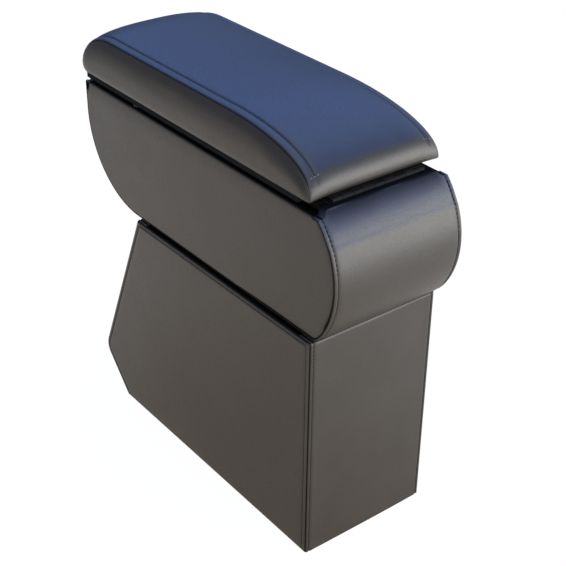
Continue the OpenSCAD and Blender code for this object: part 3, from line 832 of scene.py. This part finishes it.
def stitched(name, lines, body, material, pitch=STITCH_PITCH, seed=1):
    """One mesh of stitches. Each line is a list of (x, Y, Z, outside x, outside Y, outside Z)."""
    points, edges = [], []
    for line in lines:
        first = len(points)
        points += list(line)
        edges += [(first + k, first + k + 1) for k in range(len(line) - 1)]
    points = np.array(points, float)
    mesh = bpy.data.meshes.new(name)
    mesh.from_pydata([tuple(v) for v in to_metres(points[:, :3])], edges, [])
    mesh.attributes.new("outside", "FLOAT_VECTOR", "POINT").data.foreach_set(
        "vector", points[:, 3:].astype(np.float32).ravel())
    mesh.materials.append(material)
    obj = linked(name, mesh)
    lay = obj.modifiers.new("stitches", "NODES")
    lay.node_group = STITCHES
    values = {"Pitch": pitch * MM, "Length": STITCH_L * MM, "Width": STITCH_W * MM,
              "Height": STITCH_H * MM, "Seed": seed, "Thread": material}
    for key, value in values.items():
        lay[STITCH_SLOTS[key]] = value
    settled(obj)
    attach(obj, body)


HANDS = {-1: "left", 1: "right"}

# A part of a section below this height is turned in, and doesn't waver
BURIED = -0.6
# The first stations of the front leatherette and of the band, which are their folds
FOLD_STATIONS = 8

# Base

# Steps (inset, height) of a side's edges: along the rear and the front, at the top, at the foot
FELLED = [(1.16, -1.18), (1.14, -1.12), (1.08, -1.0), (1.0, -0.8), (1.25, -0.55), (1.6, -0.15),
          (2.1, 0.18), (2.9, 0.34), (3.8, 0.26), (4.25, -0.1), (4.8, -0.5), (5.35, -0.1),
          (5.9, 0.28), (7.2, 0.40), (60, 0.66)]
TUCKED = [(0.1, -14.0), (0.05, -2.4), (0.16, -1.5), (0.40, -0.85), (0.75, -0.40), (1.15, -0.05),
          (1.6, 0.20), (2.1, 0.30), (2.4, 0.24), (2.75, -0.10), (3.25, -0.50), (3.75, -0.10),
          (4.3, 0.26), (5.6, 0.38), (60, 0.66)]
HEMMED = [(1.2, -2.2), (0.5, -1.7), (0.15, -1.2), (0.05, -0.8), (0.2, -0.45), (0.5, -0.2),
          (0.9, -0.05), (1.5, 0.05), (2.2, 0.12), (3.0, 0.17), (3.8, 0.22), (4.6, 0.26),
          (5.5, 0.30), (7.2, 0.38), (60, 0.66)]
FELLED_EDGE, TUCKED_EDGE, HEMMED_EDGE = range(3)
SIDE_STITCHES = (4.8, 3.25, 3.0)
REAR_STITCH = 3.6
FOLD_TOP_R = 2
TOP_FLAP_Y = 228
CREASE_DEPTH, CREASE_WIDTH, CREASE_Z = 0.3, 0.9, BASE_TOP - 3.4


def uneven(x, y, z, size, amount):
    """Slow unevenness of hand-stretched leatherette, in millimetres."""
    return amount * noise.noise(Vector((x / size, y / size, z / size)))


def waves(seed, points, size, amount):
    return np.array([uneven(seed, y, z, size, amount) for y, z in points])


def base_side(side):
    outline = base_outline()
    n = len(outline)
    kinds = [HEMMED_EDGE] + [FELLED_EDGE] * (n - 3) + [TUCKED_EDGE, FELLED_EDGE]

    def shape(points, heights):
        far = side_distances(outline, [0] * n, points)[:, 0]
        wave = waves(side * 7, points, size=60, amount=0.3)
        return heights + wave * smoothstep(8, 30, far)

    obj = panel(f"base_leather_{HANDS[side]}", outline, kinds, [FELLED, TUCKED, HEMMED],
                BASE_RINGS, shape, side, lambda y, z, h: (side * (BASE_X + h), y, z))
    sewn(obj, "armrest", f"base_cover_{HANDS[side]}")
    path = inset(outline, [SIDE_STITCHES[k] for k in kinds])
    path = spaced([tuple(p) for p in path[1:]] + [tuple(path[0])], 3.0)
    return [(side * (BASE_X - THREAD_IN), y, z, side, 0, 0) for y, z in path]


def mirrored_section(half):
    """A closed section from the steps (x, height) of its right half, edge first."""
    x = half[0][0]
    return [(-x, h) for x, h in half] + half[::-1] + [(x, -SKIN), (0.0, -SKIN), (-x, -SKIN)]


def base_section():
    """The section of the base's rear and front leatherette: a seam with its stitch groove at
    each side, and a nearly flat middle."""
    s = REAR_STITCH
    steps = [(-1.18, -1.16), (-1.1, -1.14), (-0.95, -1.1), (-0.75, -0.90), (-0.95, -0.65),
             (-1.3, -0.3), (-1.7, 0.0), (-2.2, 0.26), (-s + 1.0, 0.32), (-s + 0.5, -0.1),
             (-s, -0.5), (-s - 0.5, -0.1), (-s - 1.1, 0.34), (-s - 2.2, 0.46), (-s - 4, 0.40),
             (-s - 8, 0.42), (-s - 16, 0.50)]
    steps += [(-BASE_X * k / 8, 0.55) for k in range(3, 9)]
    return mirrored_section([(BASE_X + x, h) for x, h in steps])


def base_wave(x, y, z):
    return uneven(x, y, z, size=55, amount=0.3) * smoothstep(BASE_X, BASE_X - 14, abs(x))


def beside(x, rows):
    """A stitch line at each side, along rows of Y, Z and normal, a little into the surface."""
    return [[(side * x, y - THREAD_IN * ny, z - THREAD_IN * nz, 0, ny, nz)
             for y, z, ny, nz in rows] for side in HANDS]


def base_strip(end, path, bend, rows):
    """The leatherette of the base's rear or front, with stitch lines along rows."""
    obj = swept(f"base_leather_{end}", len(path), lambda k, x: path[k], base_section(), bend)
    sewn(obj, "armrest", f"base_cover_{end}")
    return beside(BASE_X - REAR_STITCH, rows)


def base_rear():
    straight = [(0, z) for z in np.linspace(0, BASE_TOP - FOLD_TOP_R, 41)]
    fold = arc((FOLD_TOP_R, BASE_TOP - FOLD_TOP_R), FOLD_TOP_R, 180, 90, 6)[1:]
    path = path_with_normals(straight + fold + [(y, BASE_TOP) for y in (5, 9, 14)])

    def bend(k, x, h, y, z):
        if h < BURIED or y > 0.01:
            return 0.0
        crease = CREASE_DEPTH * math.exp(-((z - CREASE_Z) / CREASE_WIDTH) ** 2)
        return base_wave(x, 300, z) - crease

    rows = [(0, z, -1, 0) for z in np.linspace(3, BASE_TOP - 4, 40)]
    return base_strip("rear", path, bend, rows)


def base_front():
    outline = base_outline()
    flap = (TOP_FLAP_Y, BASE_TOP)
    corner = rounded(BASE_CORNERS[2], BASE_CORNERS[3], flap, FOLD_TOP_R, 5)[::-1]
    line = [(TOP_FLAP_Y - 8, BASE_TOP), flap] + corner + outline[-3:0:-1]
    path = path_with_normals(spaced(line, 5))

    def bend(k, x, h, y, z):
        return 0.0 if h < BURIED else base_wave(x, y, z)

    return base_strip("front", path, bend, path[FOLD_STATIONS:-1])


base_lines = [base_side(side) for side in HANDS] + base_rear() + base_front()

# Box

# Steps (inset, height) of a side's edge under the band, and of its edge at the rim
BOX_EDGE = [(0.8, -1.12), (1.1, -1.14), (1.5, -1.14), (2.1, -1.12), (2.8, -0.95), (3.4, -0.6),
            (4.2, -0.15), (5.2, 0.16), (6.6, 0.34), (9.0, 0.46), (60, 0.95)]
RIM_EDGE = [(0.45, -9.0), (0.30, -2.6), (0.35, -1.7), (0.60, -1.0), (1.0, -0.5), (1.6, -0.15),
            (2.4, 0.05), (3.4, 0.2), (5.0, 0.34), (9.0, 0.46), (60, 0.95)]
# The band's hem, from its edge to its middle. Two close steps lie at WALL_X and two at HINGE_X,
# where the rear flap changes its width.
HEM = [(-0.95, -1.85), (-0.60, -1.90), (-0.20, -1.75), (0.0, -1.40), (0.02, -1.0),
       (-0.08, -0.55), (-0.30, -0.15), (-0.70, 0.12), (-1.4, 0.28), (-2.1, 0.26), (-2.7, -0.05),
       (-3.3, -0.50), (-3.9, -0.05), (-4.6, 0.28), (-6.0, 0.44), (-9.8, 0.52), (-10.3, 0.52),
       (-14, 0.58), (-16.8, 0.60), (-17.3, 0.61), (-25, 0.66), (-32, 0.70), (-39, 0.73),
       (-46, 0.75), (-53, 0.77), (-60, 0.78)]
BAND_STITCH = 3.3
FOLD_R = 1.3

# Where the band's rear edge starts to follow the rail, in degrees above the bulge's centre, and
# the stations from there to its fold and round the fold
BAND_TURN = 25
RISE_STEPS, FOLD_STEPS = 14, 5

# The band lies lower by this near its rear edge, where the open lid comes close
LID_ROOM, LID_ROOM_Z = 0.6, (268, 300)
# Normal heights where the band's painted blue sky reflection starts and is full, and where the
# painted shade under the lid starts and is full
BAND_SKY_REFLECTION, BAND_SHADE = (0.36, 0.64), (0.54, 0.82)


def box_side(side):
    """A side of the box, sunk beside the rear bulge's hem and flush with the band in front."""
    outline = box_outline()
    n = len(outline)
    kinds = [0] * n
    kinds[outline.index((BOX_FRONT, RIM_Z))] = 1

    def shape(points, heights):
        far = side_distances(outline, [0] * n, points)[:, 0]
        deep = smoothstep(100, 45, points[:, 0])
        deep = deep * (0.25 + 0.75 * smoothstep(206, 224, points[:, 1]))
        at_rim = smoothstep(9, 4, side_distances(outline, kinds, points)[:, 1])
        flush = 0.92 * (1 - deep) * (1 - at_rim)
        heights = heights * (deep + (1 - deep) * at_rim) + flush
        wave = waves(side * 11, points, size=70, amount=0.35)
        return heights + wave * smoothstep(9, 30, far)

    obj = panel(f"box_leather_{HANDS[side]}", outline, kinds, [BOX_EDGE, RIM_EDGE],
                BOX_RINGS, shape, side, lambda y, z, h: (side * (SIDE_X + h), y, z))
    sewn(obj, "armrest", f"box_cover_{HANDS[side]}")


def band_top(x):
    """The height of the band's rear edge, which rises behind the hinge."""
    return RIM_Z + (BACK_RIM_Z - RIM_Z) * float(smoothstep(55.0, 50.0, abs(x)))


def flap_step(x):
    """Half the width of the band's rear flap: narrow at the hinge, wide over the rail's ends."""
    return 1.8 if abs(x) < HINGE_X else 8.0 if abs(x) < WALL_X else 3.5


def band_path():
    """The band from its front fold down, under the box and up the rear bulge."""
    fold = arc((BOX_FRONT - FOLD_R, RIM_Z - FOLD_R), FOLD_R, 90, 0, 4)
    front = arc(FRONT_C, FRONT_R, 0, -90, 34)
    rear = arc(REAR_C, REAR_R, bulge_foot()[1], 180 - BAND_TURN, 34)
    corner = foot_rounding(rear[0])[::-1]
    under = [tuple(p) for p in spaced([front[-1], corner[0]], 6)[1:-1]]
    flap = [(BOX_FRONT - 5, RIM_Z), (BOX_FRONT - 3, RIM_Z)]
    return path_with_normals(flap + fold + front + under + corner + rear)


def box_band():
    """The band round the box. Its rear edge is folded over and covers the rail's ends beside
    the hinge."""
    path = band_path()
    fixed = len(path)
    start = math.radians(BAND_TURN)

    def at(k, x):
        if k < fixed:
            return path[k]
        top = band_top(x)
        end = math.asin((top - FOLD_R - REAR_C[1]) / (REAR_R - FOLD_R))
        k -= fixed - 1
        if k <= RISE_STEPS:
            t = start + (end - start) * k / RISE_STEPS
            return (REAR_C[0] - REAR_R * math.cos(t), REAR_C[1] + REAR_R * math.sin(t),
                    -math.cos(t), math.sin(t))
        k -= RISE_STEPS
        t = end + (math.pi / 2 - end) * min(1, k / FOLD_STEPS)
        y = REAR_C[0] - (REAR_R - FOLD_R) * math.cos(end) - FOLD_R * math.cos(t)
        return (y + flap_step(x) * max(0, k - FOLD_STEPS), top - FOLD_R + FOLD_R * math.sin(t),
                -math.cos(t), math.sin(t))

    def bend(k, x, h, y, z):
        if h < BURIED or k < FOLD_STATIONS:
            return 0.0
        room = LID_ROOM * float(smoothstep(*LID_ROOM_Z, z)) if k >= fixed else 0.0
        if abs(x) > 55 or k >= fixed + RISE_STEPS:
            return -room
        wave = uneven(x, y, z, size=50, amount=0.35)
        return wave * float(smoothstep(55, 42, abs(x))) - room

    section = mirrored_section([(BAND_X + x, h) for x, h in HEM])
    count = fixed + RISE_STEPS + FOLD_STEPS + 2
    obj = swept("box_band_leather", count, at, section, bend, BAND_SKY_REFLECTION, BAND_SHADE)
    sewn(obj, "armrest", "box_band_cover")
    x = BAND_X - BAND_STITCH
    return beside(x, [at(k, x) for k in range(FOLD_STATIONS, fixed + RISE_STEPS - 1)])


for side in HANDS:
    box_side(side)
stitched("armrest_stitches", base_lines + box_band(), "armrest", dark_thread)

# Lid

# Steps (inset, height) of the lid's top cover over its pad, with a stitch groove and without
# one, and the further places of its net
CREST = [(0.0, -1.5), (0.3, -1.0), (0.8, -0.5), (1.5, 0.02), (2.6, 0.36), (4.2, 0.50),
         (5.8, 0.42), (6.5, 0.22), (7.0, -0.08), (7.6, -0.50), (8.2, -0.08), (8.8, 0.24),
         (9.9, 0.46), (12, 0.55), (60, 0.55)]
PLAIN_CREST = [(0.0, -1.3), (0.5, -0.35), (1.5, 0.15), (3.0, 0.35), (6.0, 0.50), (60, 0.55)]
CROSS_IN = [14, 19, 25, 32, 40, 48]
LID_STITCH = 7.6
STITCH_END_Z = 324.0
# Normal heights where the lid top's painted blue sky reflection starts and is full
LID_SKY_REFLECTION = (0.66, 0.86)

# The welt's start on the rear roll as a height, and its end at the nose and the flatter curl at
# the rear as places along the lid
WELT_Z, WELT_END, FLAT_CURL = 317, (4.7, 4.1), (1.3, 1.05)

# The pad's crown starts at this share of its height and swells under pressure, no point by more
# than the cap. What it then rises is shared between the CAD's crown and the cloth's form.
PAD_PRESSURE = 4.0
PAD_FRAMES = 20
PAD_START = 0.6
PAD_CAP = 6.0
CLOTH_SHARE = 0.5


def pad_half(z):
    """Half the width of the pad's top where its seams are at a height."""
    return lid_half(z) - SEAM_IN


def across(station, f, share=1.0):
    """The point of the pad's top at f, from -1 at the left seam to 1 at the right one."""
    _, y, z, by, bz, power = station
    bulge = share * (1 - abs(f) ** power)
    return (pad_half(z) * f, y + by * bulge, z + bz * bulge)


def pad_blank(rows, cross):
    """The pad before it swells: its points, first the top's and then a flat underside's, its
    faces, and which points are the top's rim."""
    top = [across(row, f, PAD_START) for row in rows for f in cross]
    under = [(x, y, min(z - 0.6, PAD_Z)) for x, y, z in top]
    m, n, base = len(cross), len(rows), len(top)
    faces = net_faces(n, m)
    faces += [tuple(base + v for v in face[::-1]) for face in faces]
    rim = list(range(m)) + [a * m + m - 1 for a in range(1, n)] + \
        [(n - 1) * m + i for i in range(m - 2, -1, -1)] + [a * m for a in range(n - 2, 0, -1)]
    faces += [(p, base + p, base + q, q) for p, q in zip(rim, rim[1:] + rim[:1])]
    return to_metres(top + under), faces, rim


def swell(rows, cross):
    """Inflates the pad's top between its seams with a cloth simulation. Gives how far each of
    its points moved, in millimetres."""
    points, faces, rim = pad_blank(rows, cross)
    base = len(points) // 2
    mesh = bpy.data.meshes.new("pad_swelling")
    mesh.from_pydata([tuple(v) for v in points], [], faces)
    work = bmesh.new()
    work.from_mesh(mesh)
    bmesh.ops.recalc_face_normals(work, faces=work.faces)
    work.to_mesh(mesh)
    work.free()
    obj = linked("pad_swelling", mesh)
    held = obj.vertex_groups.new(name="held")
    held.add(rim + list(range(base, 2 * base)), 1.0, "REPLACE")
    cloth = obj.modifiers.new("swelling", "CLOTH")
    cloth.settings.quality = 6
    cloth.settings.use_pressure = True
    cloth.settings.uniform_pressure_force = PAD_PRESSURE
    cloth.settings.vertex_group_mass = "held"
    cloth.settings.effector_weights.gravity = 0
    cloth.point_cache.frame_start, cloth.point_cache.frame_end = 1, PAD_FRAMES
    scene = bpy.context.scene
    for frame_number in range(1, PAD_FRAMES + 1):
        scene.frame_set(frame_number)
    graph = bpy.context.evaluated_depsgraph_get()
    moved = obj.evaluated_get(graph).data
    out = np.empty(points.size)
    moved.vertices.foreach_get("co", out)
    shift = (out.reshape(-1, 3) - points)[:base] / MM
    scene.frame_set(1)
    bpy.data.objects.remove(obj)
    bpy.data.meshes.remove(mesh)
    far = np.linalg.norm(shift, axis=1)[:, None]
    shift *= np.minimum(1, PAD_CAP / np.maximum(far, 1e-9))
    print("pad swelled by", round(float(far.max()), 2), "mm at most")
    return shift.reshape(len(rows), len(cross), 3)


def pad_grid(rows):
    """The pad's top before it swells: its points, station by station, and how far each lies from
    the nearer seam."""
    steps = [e for e, _ in CREST[:-1]] + CROSS_IN
    points, depths = [], []
    for row in rows:
        half = pad_half(row[2])
        places = [1 - e / half for e in steps] + [0.0]
        places += [-f for f in reversed(places[:-1])]
        points.append([across(row, f, PAD_START) for f in places])
        depths.append([half * (1 - abs(f)) for f in places])
    return np.array(points), np.array(depths)


def pad_lift(rows, grid):
    """How far the pad's top swells: partly up to its crown, partly in the cloth's own form."""
    full = np.array([[across(row, x / pad_half(row[2])) for x in line[:, 0]]
                     for row, line in zip(rows, grid)])
    coarse, cross = lid_stations(2, 20, 30, 8, 2), np.linspace(-1, 1, 23)
    shift = swell(coarse, cross)
    size = np.linalg.norm(shift, axis=2)
    shift = shift / size[len(size) // 2].max()
    f_at = grid[:, :, 0] / pad_half(rows[:, 2])[:, None]
    soft = np.empty_like(grid)
    for axis in range(3):
        over = np.stack([np.interp(rows[:, 0], coarse[:, 0], shift[:, k, axis])
                         for k in range(len(cross))], 1)
        soft[:, :, axis] = [np.interp(f, cross, line) for f, line in zip(f_at, over)]
    gain = (1 - PAD_START) * CROWN
    return (full - grid) * (1 - CLOTH_SHARE) + soft * gain * CLOTH_SHARE


def grid_normals(grid):
    """The normals of a grid of points, upwards in its middle."""
    normal = np.cross(np.gradient(grid, axis=0), np.gradient(grid, axis=1))
    normal /= np.linalg.norm(normal, axis=2)[:, :, None]
    return -normal if normal[len(grid) // 2, grid.shape[1] // 2, 2] < 0 else normal


def cover_heights(rows, depth):
    """How high the cover stands over the pad. Its welt and stitch groove run out low on the rear
    roll and at the nose's edge."""
    place, seam_z = rows[:, 0], rows[:, 2]
    welt = np.where(place < 2.5, smoothstep(WELT_Z, STITCH_END_Z, seam_z),
                    smoothstep(*WELT_END, place))
    crest, plain = (curve_through(*zip(*steps), depth.ravel()).reshape(depth.shape)
                    for steps in (CREST, PLAIN_CREST))
    high = plain + (crest - plain) * welt[:, None]
    return high * (1 - 0.6 * smoothstep(*FLAT_CURL, place))[:, None]


def lid_threads(rows, grid, normal):
    """The stitch lines along the lid's two seams, and short ones across their rear ends."""
    first = [e for e, _ in CREST].index(LID_STITCH)
    keep = np.flatnonzero((rows[:, 2] > STITCH_END_Z) & (rows[:, 0] < 4.2))

    def at(k, column, aside, out):
        return (*(grid[k, column + aside] + normal[k, column] * out), *normal[k, column])

    lines, ends = [], []
    for column, inward in ((first, 1), (grid.shape[1] - 1 - first, -1)):
        lines.append([at(k, column, 0, 0.25) for k in keep])
        ends.append([at(keep[0] - 1, column, inward * s, 0.2) for s in (-4, -2, 0, 2, 3)])
    return lines, ends


def lid_top():
    rows = lid_stations()
    grid, depth = pad_grid(rows)
    grid = grid + pad_lift(rows, grid)
    normal, high = grid_normals(grid), cover_heights(rows, depth)
    grid = grid + normal * high[:, :, None]
    first, last = grid[0].copy(), grid[-1].copy()
    first[:, 1], first[:, 2] = LID_REAR + TURN_IN, PAD_Z + 0.05
    last[:, 1], last[:, 2] = LID_FRONT - TURN_IN, PAD_Z + 0.05
    points = np.concatenate([first[None], grid, last[None]])
    faces = [(a, d, c, b) for a, b, c, d in net_faces(len(points), grid.shape[1])]
    # The turned-in first and last rows take full painted shade
    deep = np.pad(smoothstep(*SUNK, high), ((1, 1), (0, 0)), constant_values=1.0)
    obj = piece("lid_leather_top", points.reshape(-1, 3), faces, leatherette, closed=False,
                sunk=deep.ravel())
    if obj.data.polygons[len(obj.data.polygons) // 2].normal.z < 0:
        obj.data.flip_normals()
    dressed(with_wall(obj, 1.0), LID_SKY_REFLECTION)
    sewn(obj, "lid", "lid_top_cover")
    return lid_threads(rows, grid, normal)


# Steps (inset, height) of a lid side's edge at the seam, and of its edge turned in underneath
LID_SEAM = [(1.6, -2.8), (1.1, -1.9), (0.5, -1.3), (0.35, -0.9), (0.55, -0.5), (0.9, -0.15),
            (1.5, 0.15), (2.4, 0.65), (4.0, 1.3), (6.0, 1.8), (8.0, 2.15), (12, 2.55), (16, 2.75),
            (60, 2.9)]
LID_FOLD = [(0.1, -14.0), (0.05, -2.4), (0.15, -1.3), (0.35, -0.6), (0.65, 0.0), (1.0, 0.5),
            (1.5, 1.0), (2.2, 1.4), (4.0, 1.65), (6.0, 1.85), (10, 2.3), (14, 2.7), (18, 2.9),
            (60, 2.9)]


def lid_side(side):
    rows = lid_stations(5, 30, 14, 18, 8)
    outline = [(y, z) for y, z in rows[::-1, 1:3]]
    kinds = [0] * (len(outline) - 1) + [1]

    def shape(points, heights):
        far = side_distances(outline, kinds, points).min(axis=1)
        wave = waves(side * 17, points, size=45, amount=0.35)
        return heights + wave * smoothstep(4, 15, far)

    obj = panel(f"lid_leather_{HANDS[side]}", outline, kinds, [LID_SEAM, LID_FOLD],
                LID_RINGS, shape, side, lambda y, z, h: (side * (lid_half(z) + h), y, z),
                spacing=3.0, mesh_size=3.0)
    sewn(obj, "lid", f"lid_gusset_{HANDS[side]}")


lid_lines, lid_ends = lid_top()
stitched("lid_stitches", lid_lines, "lid", dark_thread, seed=2)
stitched("lid_end_stitches", lid_ends, "lid", pale_thread, pitch=2.2, seed=3)
for side in HANDS:
    lid_side(side)

# Studio

IMAGE = 566
FOCAL_PX = 1232.455
CENTRE_PX = (283.085, 282.987)
AZIMUTH, ELEVATION, ROLL = -38.0096, 31.2036, 0.6399
CAMERA_MM = (-525.333, -695.586, 692.439)

# Colours of the daylight, and the direction of the dark patch in it
PALE_HORIZON, DULL_HORIZON = (1.0, 0.98, 0.95), (0.12, 0.13, 0.16)
DULL_SKY, BLUE_SKY, REAR_SKY = (0.09, 0.11, 0.15), (0.42, 0.73, 1.65), (0.30, 0.50, 0.85)
TOP_SKY, DARK_SKY = (0.80, 0.86, 0.95), (0.10, 0.12, 0.17)
PATCH_AT = (0.53, -0.33, 0.78)

# Colours of the floor: its own, and the painted reflection colours that it glows with in
# reflections only: white, warm, brown as painted shade near the object, and dark far ahead
FLOOR = (0.86, 0.84, 0.80)
WHITE = (1.0, 1.0, 1.0)
WARM_REFLECTION, SHADED_REFLECTION, DARK_FAR_REFLECTION = (0.74, 0.665, 0.59), (0.46, 0.385, 0.31), (0.06, 0.065, 0.08)
FLOOR_GLOW = 1.07
FLOOR_SIZE, FLOOR_Z = 12000, -0.5


def make_camera():
    a, e, r = map(math.radians, (AZIMUTH, ELEVATION, ROLL))
    back = Vector((math.sin(a) * math.cos(e), -math.cos(a) * math.cos(e), math.sin(e)))
    right = Vector((0, 0, 1)).cross(back).normalized()
    up = back.cross(right)
    turned_right = right * math.cos(r) + up * math.sin(r)
    turned_up = up * math.cos(r) - right * math.sin(r)
    data = bpy.data.cameras.new("camera")
    data.sensor_width = 36.0
    data.lens = FOCAL_PX * data.sensor_width / IMAGE
    data.shift_x = (IMAGE / 2 - CENTRE_PX[0]) / IMAGE
    data.shift_y = (CENTRE_PX[1] - IMAGE / 2) / IMAGE
    data.clip_start, data.clip_end = 0.01, 50
    obj = linked("camera", data)
    axes = Matrix((turned_right, turned_up, back)).transposed().to_4x4()
    obj.matrix_world = Matrix.Translation(Vector(CAMERA_MM) * MM) @ axes
    bpy.context.scene.camera = obj


def make_sky():
    """Soft daylight: pale horizon behind, a duller one ahead, blue sky higher up with a dark
    patch in it, and white where the camera looks straight at it."""
    f = Finish(bpy.data.worlds.new("daylight"))
    bpy.context.scene.world = f.block
    where = f.node("ShaderNodeTexCoord", None, "Generated")
    x, y, z = f.axes(where)
    ahead = (y - x * 0.35).between(-0.45, 0.45)
    horizon = f.mixed(ahead, PALE_HORIZON, DULL_HORIZON)
    low_sky = f.mixed(x.between(-0.35, 0.15), DULL_SKY, BLUE_SKY)
    low_sky = f.mixed(ahead, REAR_SKY, low_sky)
    sky = f.mixed(z.between(0.72, 0.98), low_sky, TOP_SKY)
    patch = f.node("ShaderNodeVectorMath", {"operation": "DOT_PRODUCT"}, "Value", Vector=where)
    patch.socket.node.inputs[1].default_value = PATCH_AT
    sky = f.mixed(patch.between(0.84, 0.96) * 0.85, sky, DARK_SKY)
    colour = f.mixed(z.between(0.26, 0.56), horizon, sky)
    colour = f.mixed(f.rays("Camera")[0], colour, WHITE)
    f.done(f.node("ShaderNodeBackground", Color=colour, Strength=1.0))


def make_floor():
    """A pale floor that keeps a soft shadow. In reflections alone it glows with painted colours:
    white round the object, but warm to its left and brown close to it there as painted shade, and
    darker far ahead, as where a paper sweep ends."""
    f, where = begun("pale_floor")
    camera, glossy, through = f.rays("Camera", "Glossy", "Transmission")
    x, y, _ = f.axes(where)
    away = (x * x + y * y) ** 0.5
    # Painted reflections, seen only in glossy rays: warm to the left, brown as painted shade
    # close to the object, dark far ahead
    left = (x * 0.85 + y * 0.53).between(0.3, -0.1) * glossy
    far = away.between(0.9, 2.4) * (y - x * 0.35).between(-0.3, 0.3) * glossy
    beside_it = f.mixed(away.between(0.45, 0.12), WARM_REFLECTION, SHADED_REFLECTION)
    white = f.mixed(left, WHITE, beside_it)
    white = f.mixed(far * 0.9, white, DARK_FAR_REFLECTION)
    matt = f.node("ShaderNodeBsdfDiffuse", Color=FLOOR)
    glow = f.node("ShaderNodeEmission", Color=white, Strength=FLOOR_GLOW)
    share = (camera * 0.90 + glossy + through).clamped()
    material = f.done(f.overlaid(share, matt, glow))
    corners = [(x * FLOOR_SIZE, y * FLOOR_SIZE, FLOOR_Z)
               for x, y in ((-1, -1), (1, -1), (1, 1), (-1, 1))]
    obj = piece("floor", corners, [(0, 1, 2, 3)], material, closed=False)


def lamp(name, place, aim, size, power, colour):
    data = bpy.data.lights.new(name, "AREA")
    data.shape = "RECTANGLE"
    data.size, data.size_y = size
    data.energy = power
    data.color = colour
    obj = linked(name, data)
    obj.location = place
    direction = Vector(aim) - Vector(place)
    obj.rotation_euler = direction.to_track_quat("-Z", "Y").to_euler()
    obj.visible_camera = False


make_camera()
make_sky()
make_floor()
lamp("rear_softbox", (0.68, -1.08, 0.46), (0, 0, 0.40), (1.4, 0.84), 10.5, (1.0, 0.985, 0.97))
lamp("left_softbox", (-1.6, -1.2, 1.3), (0, 0, 0.2), (1.2, 1.2), 7.0, (1.0, 0.92, 0.82))

bpy.context.scene.view_settings.view_transform = "Standard"
